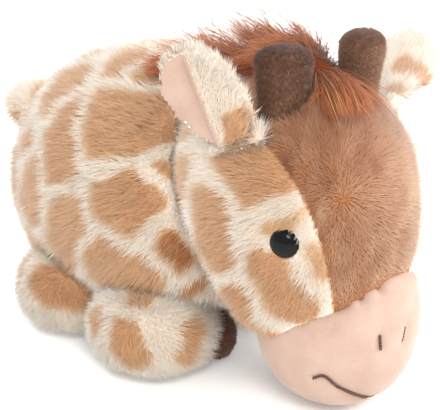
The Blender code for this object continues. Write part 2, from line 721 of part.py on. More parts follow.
def build_horns(form, head):
    """Two flattened velour horns, a little wider at the rounded top. Returns the room they take."""
    seat_tool = place_cutter("horn_seat", head_form(TOUCH_GAP), head)
    rooms = []
    for side, sign in SIDES.items():
        spot, _ = surface_point(form, Vector((0.0, 0.0, 0.0)), flipped(HORN_DIRECTION, side))
        lean = Matrix.Rotation(-sign * HORN_LEAN, 3, 'Y') @ Matrix.Rotation(sign * HORN_TURN, 3, 'Z')
        frame = add_frame("horn_" + side + "_seat", spot, lean, head)
        horn = place("horn_" + side, horn_mesh(0.0), BROWN_VELOUR, frame)
        cut(horn, seat_tool)
        rooms.append(place_cutter("horn_" + side + "_room", horn_mesh(TOUCH_GAP), frame))
    return rooms


def horn_mesh(grow):
    top = HORN_TOP_RADIUS + grow
    base = HORN_BASE_RADIUS + grow
    shoulder = HORN_LENGTH - HORN_TOP_RADIUS * HORN_CAP_SHARE
    profile = [(r, shoulder + h * HORN_CAP_SHARE) for r, h in arc(top, 0.0, math.pi / 2, 6)]
    profile += [((top + base) / 2, shoulder / 2), (base, 0.0), (base, -HORN_ROOT), (0.0, -HORN_ROOT)]
    mesh = turned("horn", profile, HORN_SIDES)
    mesh.transform(Matrix.Diagonal((1.0, HORN_FLAT_SHARE, 1.0, 1.0)))
    return mesh


def ear_layer(name, side, trim, thickness, centre, start):
    """One layer of an ear: +Z runs up the ear, +X along its root, and it cups towards the lining."""
    half = EAR_WIDTH / 2 - trim
    sign = SIDES[side]

    def ring_point(station, angle):
        share, width = station
        height = start + share * (EAR_LENGTH - trim - start)
        across = half * width * math.cos(angle)
        cup = EAR_CUP * (across / EAR_WIDTH * 2) ** 2 * share
        depth = centre + cup + thickness / 2 * math.sin(angle)
        return flopped(across, depth, height)

    def flopped(across, depth, height):
        rise = height / EAR_LENGTH
        turn = EAR_TWIST[side] * min(1.0, rise * 1.5)
        x = across * math.cos(turn) - depth * math.sin(turn)
        y = across * math.sin(turn) + depth * math.cos(turn)
        return Vector((x + math.tan(EAR_LEAN[side]) * height, sign * y, height))

    ends = (flopped(0.0, centre, start), flopped(0.0, centre, EAR_LENGTH - trim))
    return soft_form(name, EAR_LAYER_SIDES, EAR_OUTLINE_SHARES, ring_point, ends)


def build_ears(form, head_pieces, head):
    """A furry back with a velour lining, hinged on the round seam at the root."""
    for side in SIDES:
        spot, normal = surface_point(form, Vector((0.0, 0.0, 0.0)), flipped(EAR_DIRECTION, side))
        turn = along(flipped(EAR_UP[side], side), flipped(EAR_ALONG_ROOT, side))
        pivot = add_frame("ear_" + side + "_pivot", spot + normal * EAR_ROOT_LIFT, turn, head)
        furry = ear_layer("ear", side, 0.0, EAR_BACK_THICKNESS, 0.0, -EAR_ROOT_RADIUS / 2)
        back = place("ear_back_" + side, furry, CREAM_PLUSH, pivot)
        cut(back, place_cutter("ear_" + side + "_root", ear_root(0.0), pivot), operation='UNION')
        depth = EAR_BACK_THICKNESS / 2 + EAR_LAYER_GAP + EAR_LINING_THICKNESS / 2
        lining = ear_layer("lining", side, EAR_LINING_TRIM, EAR_LINING_THICKNESS, depth, EAR_LINING_START)
        place("ear_lining_" + side, lining, PINK_VELOUR, pivot)
        groove = place_cutter("ear_" + side + "_groove", ear_root(TURN_GAP), pivot)
        cut(head_pieces[side], groove)
        cut(head_pieces["blaze"], groove)
        cut(head_pieces["filling"], groove, solver='MANIFOLD')


def ear_root(grow):
    radius = EAR_ROOT_RADIUS + grow
    half = EAR_ROOT_WIDTH / 2 + grow
    outline = [(0.0, half), (radius, half), (radius, -half), (0.0, -half)]
    mesh = turned("root", outline, EAR_ROOT_SIDES)
    mesh.transform(Matrix.Rotation(math.pi / 2, 4, 'Y'))
    return mesh


def build_manes(horn_rooms, head, neck_trim, neck_opening):
    """A strip of long hair from between the horns to the nape, and one on the withers."""
    def crown_point(station, angle):
        share, width, height = station
        turn = CROWN_MANE_FROM + (CROWN_MANE_TO - CROWN_MANE_FROM) * share
        radius = HEAD_CROWN + MANE_THICKNESS / 2 * (MANE_SEAT_SHARE + height * math.sin(angle))
        across = MANE_WIDTH / 2 * width * math.cos(angle)
        return Vector((across, radius * math.sin(turn), radius * math.cos(turn)))

    ends = []
    for turn in (CROWN_MANE_FROM, CROWN_MANE_TO):
        ends.append(Vector((0.0, math.sin(turn), math.cos(turn))) * HEAD_CROWN)
    crown = soft_form("mane", MANE_SIDES, CROWN_MANE_SHARES, crown_point, ends)
    crown_seat = place_cutter("crown_seat", head_form(TOUCH_GAP), head)
    piece = place("mane_crown", crown, MANE_PLUSH, head)
    cut(piece, crown_seat, *horn_rooms, neck_trim)

    def withers_point(station, angle):
        share, width, height = station
        across = WITHERS_MANE_WIDTH / 2 * width * math.cos(angle)
        up = WITHERS_MANE_THICKNESS / 2 * (MANE_SEAT_SHARE + height * math.sin(angle))
        return Vector((across, WITHERS_MANE_FRONT_Y + share * WITHERS_MANE_LENGTH, BODY_HEIGHT + up))

    back = WITHERS_MANE_FRONT_Y + WITHERS_MANE_LENGTH
    ends = [Vector((0.0, y, BODY_HEIGHT)) for y in (WITHERS_MANE_FRONT_Y, back)]
    withers = soft_form("withers", MANE_SIDES, WITHERS_MANE_SHARES, withers_point, ends)
    seat = body_form(TOUCH_GAP)
    piece = place("mane_withers", withers, MANE_PLUSH)
    cut(piece, place_cutter("withers_seat", seat), neck_opening)


def build_tail(frame, tail_trim):
    """A flat furry tail whose round root sits in a dimple of the rump."""
    def ring_point(station, angle):
        share, width, thickness = station
        return Vector((TAIL_WIDTH / 2 * width * math.cos(angle),
                       TAIL_THICKNESS / 2 * thickness * math.sin(angle), share * TAIL_LENGTH))
    ends = (Vector((0.0, 0.0, 0.0)), Vector((0.0, 0.0, TAIL_LENGTH)))
    form = soft_form("tail", TAIL_SIDES, TAIL_STATION_SHARES, ring_point, ends)
    tail = place("tail", form, CREAM_PLUSH, frame)
    root = turned("ball", arc(TAIL_BALL_RADIUS, 0.0, math.pi, TAIL_BALL_STEPS), TAIL_BALL_SIDES)
    cut(tail, tail_trim)
    cut(tail, place_cutter("tail_ball", root, frame), operation='UNION')


start_clean()
parts = new_collection("plush_giraffe")
cutters = new_collection("cutters")

leg_rooms = build_legs()
neck_turn = along(neck_direction(), Vector((1.0, 0.0, 0.0)))
neck_pivot = add_frame("neck_pivot", NECK_CENTRE, neck_turn)
neck_socket = NECK_RADIUS + TURN_GAP
neck_opening, neck_trim = joint_seats(
    "neck", neck_pivot, neck_socket, neck_socket, NECK_BODY_EDGE, NECK_HEAD_EDGE)
tail_direction = Vector((0.0, math.cos(TAIL_RISE), math.sin(TAIL_RISE)))
tail_turn = along(tail_direction, Vector((1.0, 0.0, 0.0)))
tail_pivot = add_frame("tail_pivot", TAIL_ROOT, tail_turn)
tail_socket = TAIL_BALL_RADIUS + TURN_GAP
tail_opening, tail_trim = joint_seats(
    "tail", tail_pivot, tail_socket, TOUCH_GAP, TAIL_BODY_EDGE, TAIL_EDGE)

build_body(leg_rooms, neck_opening, tail_opening)
neck_ball = turned("neck", arc(NECK_RADIUS, 0.0, math.pi, NECK_STEPS), NECK_SIDES)
place("neck_filling", neck_ball, FIBRE, neck_pivot)
build_tail(tail_pivot, tail_trim)

head_pivot = add_frame("head_pivot", Vector((0.0, 0.0, 0.0)), neck_turn.inverted(), neck_pivot)
head_turn = Matrix.Rotation(HEAD_TURN, 3, 'Z') @ Matrix.Rotation(HEAD_TIP, 3, 'Y')
head = add_frame("head", HEAD_CENTRE - NECK_CENTRE, head_turn, head_pivot)
skull, head_pieces = build_head(head, neck_trim)
muzzle = build_muzzle(head)
build_eyes(skull, head_pieces, head)
build_stitches(muzzle, head)
horn_rooms = build_horns(skull, head)
build_ears(skull, head_pieces, head)
build_manes(horn_rooms, head, neck_trim, neck_opening)
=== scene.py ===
import math

import bpy
import numpy as np
from mathutils import Matrix, Vector
from mathutils.bvhtree import BVHTree


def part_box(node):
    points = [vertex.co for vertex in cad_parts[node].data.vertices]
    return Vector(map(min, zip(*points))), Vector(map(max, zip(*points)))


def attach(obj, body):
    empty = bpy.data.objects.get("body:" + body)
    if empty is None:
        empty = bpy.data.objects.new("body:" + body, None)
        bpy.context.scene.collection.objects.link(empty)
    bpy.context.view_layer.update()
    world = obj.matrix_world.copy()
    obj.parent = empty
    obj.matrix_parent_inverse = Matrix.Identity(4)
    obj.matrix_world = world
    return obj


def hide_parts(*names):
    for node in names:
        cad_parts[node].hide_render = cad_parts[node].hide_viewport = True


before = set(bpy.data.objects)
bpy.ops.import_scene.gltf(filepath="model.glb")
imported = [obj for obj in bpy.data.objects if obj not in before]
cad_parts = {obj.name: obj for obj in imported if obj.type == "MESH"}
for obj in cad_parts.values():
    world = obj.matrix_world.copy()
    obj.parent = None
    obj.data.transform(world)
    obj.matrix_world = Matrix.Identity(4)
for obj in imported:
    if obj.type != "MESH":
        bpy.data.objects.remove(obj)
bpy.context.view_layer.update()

# A plush giraffe lying on its belly: sewn skins, pile made of fine strands, velour and glossy eyes.
# Metres, +Z up, the face looks along -Y and the toy's right side is at -X.

mm = 0.001
sides = ("right", "left")
view = {"azimuth": -44.0, "elevation": 25.0, "distance": 0.9, "target": (0.0085, -0.0300, 0.0510),
        "lens": 163.6, "sensor": 36.0}
studio = {"world": 1.12, "floorLift": 0.16, "floorSize": 4.0, "aim": (0.0, -0.02, 0.06),
          "lamps": {"key": {"place": (-0.55, -0.75, 0.95), "size": 0.55, "power": 8.0},
                    "fill": {"place": (0.75, -0.65, 0.45), "size": 0.6, "power": 7.4},
                    "rim": {"place": (-0.2, 0.8, 0.9), "size": 0.6, "power": 4.0}}}
head = {"origin": (-0.0075, -0.0930, 0.0860), "turn": -7.0, "tip": 3.5, "crown": 0.051, "chin": 0.058,
        "seamTop": 0.0365, "seamChin": 0.0140}
headPlace = (Matrix.Translation(head["origin"]) @ Matrix.Rotation(math.radians(head["turn"]), 4, "Z")
             @ Matrix.Rotation(math.radians(head["tip"]), 4, "Y"))


# small helpers

def pick(obj):
    bpy.ops.object.select_all(action="DESELECT")
    obj.select_set(True)
    bpy.context.view_layer.objects.active = obj


def bake(obj):  # apply every modifier
    pick(obj)
    for modifier in list(obj.modifiers):
        bpy.ops.object.modifier_apply(modifier=modifier.name)


def inEditMode(obj, operator, **settings):  # the operator acts on the whole mesh
    pick(obj)
    bpy.ops.object.mode_set(mode="EDIT")
    bpy.ops.mesh.select_all(action="SELECT")
    operator(**settings)
    bpy.ops.object.mode_set(mode="OBJECT")


def soften(obj, rounds):
    smoother = obj.modifiers.new("soften", "SMOOTH")
    smoother.factor = 0.5
    smoother.iterations = rounds


def bevelled(obj, width):
    obj.modifiers.new("rim", "BEVEL").width = width * mm
    bake(obj)


def newObject(name, mesh):
    obj = bpy.data.objects.new(name, mesh)
    bpy.context.scene.collection.objects.link(obj)
    return obj


def shadeSmooth(mesh):
    mesh.polygons.foreach_set("use_smooth", np.ones(len(mesh.polygons), bool))


def titled(node):  # leg_front_right becomes LegFrontRight
    return node.title().replace("_", "")


def toLinear(code):
    channels = [int(code[i:i + 2], 16) / 255 for i in (1, 3, 5)]
    return tuple(c / 12.92 if c <= 0.04045 else ((c + 0.055) / 1.055) ** 2.4 for c in channels) + (1.0,)


def addNode(tree, kind, values=None, links=None, stops=(), to=None, **settings):
    # a node given as a link stands for its first output; to is a socket that this node feeds
    node = tree.nodes.new(kind)
    for key, value in settings.items():
        setattr(node, key, value)
    for key, value in (values or {}).items():
        node.inputs[key].default_value = value
    for key, source in (links or {}).items():
        tree.links.new(source.outputs[0] if isinstance(source, bpy.types.Node) else source, node.inputs[key])
    for _ in stops[2:]:  # a new colour ramp has two stops
        node.color_ramp.elements.new(0.5)
    for i, (place, code) in enumerate(stops):
        node.color_ramp.elements[i].position = place
        node.color_ramp.elements[i].color = toLinear(code)
    if to is not None:
        tree.links.new(node.outputs[0], to)
    return node


def newMaterial(name, roughness, ior=1.5, **sockets):
    material = bpy.data.materials.new(name)
    material.use_nodes = True
    shader = material.node_tree.nodes["Principled BSDF"]
    shader.inputs["Roughness"].default_value = roughness
    shader.inputs["IOR"].default_value = ior
    for key, value in sockets.items():
        shader.inputs[key.replace("_", " ")].default_value = value
    return material, material.node_tree, shader


def perMetre(size):  # a pattern's scale from the size of its features in mm
    return 1.0 / (size * mm)


def points(mesh, key="co"):  # every vertex's place, or its normal
    values = np.empty(len(mesh.vertices) * 3)
    mesh.vertices.foreach_get(key, values)
    return values.reshape(-1, 3)


def setPoints(mesh, co):
    mesh.vertices.foreach_set("co", co.astype(np.float32).ravel())
    mesh.update()


def spreadOut(co, share):  # scaled about the middle of its box
    middle = (co.min(axis=0) + co.max(axis=0)) / 2
    return middle + (co - middle) * share


def treeOf(obj):  # a search tree of its faces, and the box round it
    mesh = obj.data
    co = points(mesh)
    tree = BVHTree.FromPolygons([v.co for v in mesh.vertices], [p.vertices for p in mesh.polygons])
    return tree, co.min(axis=0) - 2 * mm, co.max(axis=0) + 2 * mm


def normalised(v):
    return v / np.maximum(np.linalg.norm(v, axis=-1, keepdims=True), 1e-9)


def smoothStep(low, high, x):
    t = np.clip((x - low) / (high - low), 0.0, 1.0)
    return t * t * (3.0 - 2.0 * t)


def grown(least, low, high, x):  # a share of the pile's length, from the least up to 1
    return least + (1.0 - least) * smoothStep(low, high, x)


def waves(p, size, seed):  # smooth noise from -1 to 1, with features of about that size
    rng = np.random.default_rng(seed)
    total = np.zeros(len(p))
    for _ in range(6):
        way = rng.normal(size=3)
        way *= rng.uniform(0.7, 1.5) * math.tau / (2.0 * size) / np.linalg.norm(way)
        total += np.sin(p @ way + rng.uniform(0.0, math.tau))
    return total / 3.0


def waveVectors(p, size, seed):
    return np.stack([waves(p, size, seed + i) for i in range(3)], axis=1)


def toHead(p):
    inverse = np.array(headPlace.inverted())
    return p @ inverse[:3, :3].T + inverse[:3, 3]


def fromHead(p):
    place = np.array(headPlace)
    return np.asarray(p) @ place[:3, :3].T + place[:3, 3]


def blazeSeam(p):  # how far a point of the head lies outside the seams beside the blaze
    local = toHead(p)
    slope = (head["seamTop"] - head["seamChin"]) / (head["crown"] + head["chin"])
    return np.abs(local[:, 0]) - (head["seamTop"] + slope * (local[:, 2] - head["crown"]))


# camera, floor and lights

def placeCamera():
    turn, rise = math.radians(view["azimuth"]), math.radians(view["elevation"])
    back = Vector((math.sin(turn) * math.cos(rise), -math.cos(turn) * math.cos(rise), math.sin(rise)))
    bpy.ops.object.camera_add(location=Vector(view["target"]) + back * view["distance"],
                              rotation=(-back).to_track_quat("-Z", "Y").to_euler())
    camera = bpy.context.object
    camera.data.lens = view["lens"]
    camera.data.sensor_width = view["sensor"]
    bpy.context.scene.camera = camera
    bpy.context.scene.view_settings.view_transform = "Standard"


def lightWorld():  # a warm white light all round, and plain white where the camera or a gloss sees it
    world = bpy.data.worlds.new("softWhiteStudio")
    bpy.context.scene.world = world
    world.use_nodes = True
    tree = world.node_tree
    tree.nodes.clear()
    rays = addNode(tree, "ShaderNodeLightPath").outputs
    seen = addNode(tree, "ShaderNodeMath", operation="MAXIMUM",
                   links={0: rays["Is Camera Ray"], 1: rays["Is Transmission Ray"]})
    seen = addNode(tree, "ShaderNodeMath", operation="MAXIMUM", links={0: seen, 1: rays["Is Glossy Ray"]})
    lit = addNode(tree, "ShaderNodeBackground",
                  values={"Color": toLinear("#FFFDFA"), "Strength": studio["world"]})
    plain = addNode(tree, "ShaderNodeBackground", values={"Color": (1.0, 1.0, 1.0, 1.0), "Strength": 1.0})
    mixed = addNode(tree, "ShaderNodeMixShader", links={0: seen, 1: lit, 2: plain})
    addNode(tree, "ShaderNodeOutputWorld", links={"Surface": mixed})


def hangLamps():
    for name, lamp in studio["lamps"].items():
        aim = Vector(studio["aim"]) - Vector(lamp["place"])
        bpy.ops.object.light_add(type="AREA", location=lamp["place"],
                                 rotation=aim.to_track_quat("-Z", "Y").to_euler())
        made = bpy.context.object
        made.name = name + "Lamp"
        made.data.shape = "DISK"
        made.data.size = lamp["size"]
        made.data.energy = lamp["power"]


def layFloor():  # a painted board, lifted to white for the camera alone
    bpy.ops.mesh.primitive_plane_add(size=studio["floorSize"], location=(0.0, 0.0, -0.2 * mm))
    floor = bpy.context.object
    floor.name = "floor"
    material, tree, shader = newMaterial("paintedStudioBoard", 0.85)
    shader.inputs["Base Color"].default_value = toLinear("#F7F7F6")
    shader.inputs["Emission Color"].default_value = (1.0, 1.0, 1.0, 1.0)
    rays = addNode(tree, "ShaderNodeLightPath").outputs
    addNode(tree, "ShaderNodeMath", operation="MULTIPLY", values={1: studio["floorLift"]},
            links={0: rays["Is Camera Ray"]}, to=shader.inputs["Emission Strength"])
    floor.data.materials.append(material)


# materials

def furMaterial(name, stops, root="#F7DDC4", sheen=0.5):
    # polyester pile: matt, each strand a little different, with painted shade that makes each strand darker
    # and warmer towards its root, where the pile shades itself; the strands' own map holds the dye from left
    # to right and root to tip upward, in eight slightly different shades
    material, tree, shader = newMaterial(name, 0.75, Specular_IOR_Level=0.25, Sheen_Weight=sheen,
                                         Sheen_Roughness=0.6)
    strandMap = addNode(tree, "ShaderNodeUVMap", uv_map="OFBake")
    parts = addNode(tree, "ShaderNodeSeparateXYZ", links={0: strandMap}).outputs
    colour = addNode(tree, "ShaderNodeValToRGB", stops=stops, links={"Fac": parts["X"]})
    rows = addNode(tree, "ShaderNodeMath", operation="MULTIPLY", values={1: float(shades)},
                   links={0: parts["Y"]})
    along = addNode(tree, "ShaderNodeMath", operation="FRACT", links={0: rows})
    row = addNode(tree, "ShaderNodeMath", operation="FLOOR", links={0: rows})
    # painted shade: the colour drops from full at the tip to 0.92 at the root, and root is the darker, warmer
    # colour mixed in at the root
    tip = addNode(tree, "ShaderNodeMapRange", values={"To Min": 0.92, "To Max": 1.0}, links={"Value": along})
    paintedRootShade = addNode(tree, "ShaderNodeValToRGB", stops=((0.0, root), (0.75, "#FFFFFF")), links={"Fac": along})
    rootShaded = addNode(tree, "ShaderNodeVectorMath", operation="MULTIPLY", links={0: colour, 1: paintedRootShade})
    kind = addNode(tree, "ShaderNodeMapRange", links={"Value": row},
                   values={"From Max": shades - 1.0, "To Min": 0.93, "To Max": 1.07})
    shade = addNode(tree, "ShaderNodeMath", operation="MULTIPLY", links={0: tip, 1: kind})
    addNode(tree, "ShaderNodeVectorMath", operation="SCALE", links={0: rootShaded, "Scale": shade},
            to=shader.inputs["Base Color"])
    return material


def backingMaterial(name, stops, shade=0.95):
    # the knitted backing seen between the strands: the dye again, with the knit's fine speckle
    material, tree, shader = newMaterial(name, 0.95, Specular_IOR_Level=0.1)
    dye = addNode(tree, "ShaderNodeAttribute", attribute_name="dye").outputs["Fac"]
    colour = addNode(tree, "ShaderNodeValToRGB", stops=stops, links={"Fac": dye})
    place = addNode(tree, "ShaderNodeTexCoord").outputs["Object"]
    speckle = addNode(tree, "ShaderNodeTexNoise", values={"Scale": perMetre(1.111), "Detail": 2.0},
                      links={"Vector": place})
    amount = addNode(tree, "ShaderNodeMapRange", values={"To Min": shade - 0.1, "To Max": shade + 0.1},
                     links={"Value": speckle})
    addNode(tree, "ShaderNodeVectorMath", operation="SCALE", links={0: colour, "Scale": amount},
            to=shader.inputs["Base Color"])
    addNode(tree, "ShaderNodeBump", values={"Strength": 0.6, "Distance": 0.4 * mm}, links={"Height": speckle},
            to=shader.inputs["Normal"])
    return material


def velourMaterial(name, low, high, patch=14.0, sheen=0.35):
    # short brushed velour: matt, with painted sheen: soft light and dark patches where the nap lies different
    # ways; the grain is drawn coarser than real velour's so that it shows
    material, tree, shader = newMaterial(name, 0.85, Specular_IOR_Level=0.2, Sheen_Weight=sheen,
                                         Sheen_Roughness=0.4)
    place = addNode(tree, "ShaderNodeTexCoord").outputs["Object"]
    # painted sheen: patches of lighter and darker colour standing in for the nap's changing gleam
    paintedLight = addNode(tree, "ShaderNodeTexNoise", values={"Scale": perMetre(patch), "Detail": 3.0},
                      links={"Vector": place})
    grain = addNode(tree, "ShaderNodeTexNoise", values={"Scale": perMetre(0.625), "Detail": 2.0},
                    links={"Vector": place})
    both = addNode(tree, "ShaderNodeMath", operation="MULTIPLY_ADD", values={1: 0.45},
                   links={0: grain, 2: paintedLight})
    spread = addNode(tree, "ShaderNodeMapRange", values={"From Min": 0.45, "From Max": 1.0},
                     links={"Value": both})
    addNode(tree, "ShaderNodeValToRGB", stops=((0.0, low), (1.0, high)), links={"Fac": spread},
            to=shader.inputs["Base Color"])
    addNode(tree, "ShaderNodeBump", values={"Strength": 0.5, "Distance": 0.25 * mm}, links={"Height": grain},
            to=shader.inputs["Normal"])
    return material


def acrylicMaterial():  # moulded black acrylic, polished: deep black with one small highlight
    material, tree, shader = newMaterial("polishedBlackAcrylic", 0.07, 1.49, Specular_IOR_Level=0.2)
    place = addNode(tree, "ShaderNodeTexCoord").outputs["Object"]
    cloud = addNode(tree, "ShaderNodeTexNoise", values={"Scale": perMetre(3.846)}, links={"Vector": place})
    addNode(tree, "ShaderNodeValToRGB", stops=((0.3, "#050506"), (0.8, "#0E0E10")), links={"Fac": cloud},
            to=shader.inputs["Base Color"])
    return material


def nylonMaterial():  # injection moulded nylon, off white, faintly frosted
    material, tree, shader = newMaterial("mouldedNylonWhite", 0.5, 1.53)
    place = addNode(tree, "ShaderNodeTexCoord").outputs["Object"]
    frost = addNode(tree, "ShaderNodeTexNoise", values={"Scale": perMetre(1.4286)}, links={"Vector": place})
    addNode(tree, "ShaderNodeValToRGB", stops=((0.3, "#D8D8D2"), (0.7, "#E8E8E3")), links={"Fac": frost},
            to=shader.inputs["Base Color"])
    return material


def threadMaterial():  # twisted embroidery thread: dark brown, a slight satin gleam, fine plies
    material, tree, shader = newMaterial("twistedThreadBrown", 0.55, Specular_IOR_Level=0.4, Sheen_Weight=0.3)
    place = addNode(tree, "ShaderNodeTexCoord").outputs["Object"]
    ply = addNode(tree, "ShaderNodeTexWave", values={"Scale": perMetre(2.381), "Distortion": 2.0},
                  links={"Vector": place}, bands_direction="DIAGONAL").outputs[0]
    addNode(tree, "ShaderNodeValToRGB", stops=((0.2, "#3A1D14"), (0.8, "#6B4030")), links={"Fac": ply},
            to=shader.inputs["Base Color"])
    addNode(tree, "ShaderNodeBump", values={"Strength": 0.5, "Distance": 0.15 * mm}, links={"Height": ply},
            to=shader.inputs["Normal"])
    return material


# colours from undyed to fully dyed; the strands of a pile come in so many slightly different shades

shades = 8
coatStops = ((0.0, "#FFF7EA"), (0.30, "#FBE8D3"), (0.50, "#EAC9A2"), (0.72, "#E2B489"), (0.86, "#C08355"),
             (1.0, "#925632"))
blazeStops = ((0.0, "#834D33"), (0.3, "#A87756"), (0.6, "#C39776"), (1.0, "#D7B495"))
maneStops = ((0.0, "#54220F"), (0.35, "#934A26"), (0.7, "#C07748"), (1.0, "#E0AB80"))
brownStops = ((0.0, "#341D13"), (0.5, "#6B4532"), (1.0, "#B08768"))


def buildMaterials():
    return {
        "coat": furMaterial("polyesterPilePrinted", coatStops),
        "blaze": furMaterial("polyesterPileBrown", blazeStops),
        # the third colour of a pile is its painted root shade
        "mane": furMaterial("longHairPileRust", maneStops, "#8A5E4A", 0.15),
        "brownNap": furMaterial("velourNapBrown", brownStops, "#8A7468", 0.12),
        "backing": backingMaterial("knittedBackingPrinted", coatStops),
        "maneBacking": backingMaterial("knittedBackingRust", maneStops, 0.5),
        "pink": velourMaterial("brushedVelourPink", "#B69787", "#C5AA9B"),
        "brown": velourMaterial("brushedVelourBrown", "#4E352A", "#6C4D3E", 6.0, 0.12),
        "eye": acrylicMaterial(),
        "nylon": nylonMaterial(),
        "thread": threadMaterial(),
    }


# sewn skins: the CAD cover and its filling together, rounded as stuffing rounds them

stuffing = {"frames": 20, "quality": 4, "floorGap": 0.3}


def copyOf(nodeName):
    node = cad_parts[nodeName]
    mesh = node.data.copy()
    mesh.transform(node.matrix_world)
    mesh.materials.clear()
    return newObject(nodeName + "Copy", mesh)


def mergedCopy(name, nodeNames):
    copies = [copyOf(n) for n in nodeNames]
    pick(copies[0])
    for obj in copies:
        obj.select_set(True)
    if len(copies) > 1:
        bpy.ops.object.join()
    obj = copies[0]
    obj.name = obj.data.name = name
    inEditMode(obj, bpy.ops.mesh.remove_doubles, threshold=0.01 * mm)
    return obj


def inflate(obj, pressure, held, cap):
    # the stuffing pushes the cloth out between its seams; held is true for points on a seam
    before = points(obj.data)
    group = obj.vertex_groups.new(name="seams")
    seam = np.flatnonzero(held(before))
    if len(seam):
        group.add([int(i) for i in seam], 1.0, "REPLACE")
    cloth = obj.modifiers.new("stuffing", "CLOTH")
    cloth.settings.quality = stuffing["quality"]
    cloth.settings.use_pressure = True
    cloth.settings.uniform_pressure_force = pressure
    cloth.settings.effector_weights.gravity = 0.0
    cloth.settings.vertex_group_mass = "seams"
    cloth.point_cache.frame_start = 1
    cloth.point_cache.frame_end = stuffing["frames"]
    scene = bpy.context.scene
    for step in range(1, stuffing["frames"] + 1):
        scene.frame_set(step)
    bake(obj)
    scene.frame_set(1)
    move = points(obj.data) - before
    far = np.linalg.norm(move, axis=1, keepdims=True)
    setPoints(obj.data, before + move * np.minimum(1.0, cap * mm / np.maximum(far, 1e-9)))


def sewSkin(name, nodeNames, body, voxel, rounds, pressure=0.0, held=None, cap=0.0, fine=1):
    # voxel and cap are in mm; the cap is how far the stuffing may push a point of the cloth
    obj = mergedCopy(name, nodeNames)
    remesh = obj.modifiers.new("cloth", "REMESH")
    remesh.mode = "VOXEL"
    remesh.voxel_size = voxel * mm
    soften(obj, rounds)
    bake(obj)
    if pressure:
        inflate(obj, pressure, held, cap)
    if fine:
        obj.modifiers.new("fine", "SUBSURF").levels = fine
        obj.modifiers["fine"].render_levels = fine
        bake(obj)
    obj.vertex_groups.clear()
    co = points(obj.data)
    co[:, 2] = np.maximum(co[:, 2], stuffing["floorGap"] * mm)
    setPoints(obj.data, co)
    shadeSmooth(obj.data)
    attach(obj, body)
    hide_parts(*nodeNames)
    return obj


def dress(obj, material, dye=None):  # dye is a depth of colour for each vertex
    obj.data.materials.append(material)
    if dye is not None:
        layer = obj.data.attributes.new("dye", "FLOAT", "POINT")
        layer.data.foreach_set("value", dye.astype(np.float32))


# printed patches: capsules from a to b with a radius in mm and a depth of dye; pale lines run
# half way between two patches

coatLines = {"halfLine": 2.7, "soft": 1.5, "wobble": 1.6, "wobbleSize": 11.0}
bodyPatches = [
    ((-42, -15, 103), (-35, -26, 108), 21, 0.72), ((-58, -35, 78), (-57, -44, 78), 15, 0.74),
    ((-46, 8, 98), (-58, 1, 83), 15, 0.74), ((-64, -9, 67), (-64, -4, 47), 14, 0.72),
    ((-59, 20, 72), (-62, 20, 58), 13, 0.70), ((-22, 25, 109), (-34, 26, 102), 13, 0.70),
    ((-18, 6, 115), (-10, 6, 116), 10, 0.72), ((-12, 30, 112), (-4, 34, 111), 10, 0.66),
    ((-52, -61, 63), (-48, -67, 55), 8, 0.85), ((-63, -32, 46), (-57, -49, 40), 15, 0.72),
    ((-48, -63, 38), (-41, -71, 44), 7, 0.80), ((-50, 33, 81), (-46, 38, 84), 9, 0.7),
    ((-44, -47, 95), (-44, -54, 90), 7, 0.78), ((-30, 52, 84), (-22, 58, 74), 12, 0.7),
    ((-46, 44, 60), (-44, 46, 48), 12, 0.7), ((-24, 62, 50), (-14, 66, 44), 11, 0.7),
    ((-14, 50, 97), (-8, 52, 95), 9, 0.7), ((-58, 12, 36), (-54, 30, 34), 10, 0.7),
    ((-30, 58, 24), (-36, 52, 22), 9, 0.66), ((-20, -12, 112), (-16, -18, 113), 9, 0.68)]
headPatches = [
    ((-57, -90, 97), (-58, -93, 75), 13.5, 0.74), ((-54, -94, 109), (-46, -115, 109), 14.5, 0.74),
    ((-49, -123, 92), (-44, -133, 94), 9.5, 0.63),
    ((-45, -135, 88), (-44, -140, 78), 9.5, 0.62), ((-52, -121, 72), (-47, -130, 58), 11, 0.74),
    ((-47, -104, 55), (-38, -112, 36), 10, 0.76), ((-48, -66, 96), (-44, -62, 82), 12, 0.72),
    ((-38, -60, 110), (-34, -66, 116), 9, 0.7), ((-44, -78, 60), (-38, -80, 50), 10, 0.72)]
legPatches = {
    "leg_front_right": [((-74, -53, 27), (-74, -60, 18), 9, 0.72), ((-48, -75, 27), (-55, -76, 15), 8, 0.72),
                        ((-70, -30, 29), (-74, -35, 24), 8, 0.7), ((-58, -48, 36), (-52, -44, 37), 7, 0.6),
                        ((-30, -30, 28), (-34, -24, 22), 8, 0.7)],
    "leg_rear_right": [((-69, 7, 31), (-66, -12, 25), 11, 0.74), ((-69, -9, 9), (-66, -13, 8), 6, 0.6),
                       ((-62, 24, 24), (-52, 30, 20), 9, 0.7), ((-36, 26, 30), (-30, 16, 32), 8, 0.7)]}
tailPatches = [((-7, 78, 79), (4, 79, 79), 7, 0.72), ((-14, 84, 64), (-12, 88, 62), 5, 0.7),
               ((10, 88, 66), (12, 84, 66), 6, 0.7)]


def mirrored(patches, dx, dy, dz):  # to the left side, moved a little so that it doesn't look copied
    return [((-a[0] + dx, a[1] + dy, a[2] + dz), (-b[0] + dx, b[1] + dy, b[2] + dz), r, d)
            for a, b, r, d in patches]


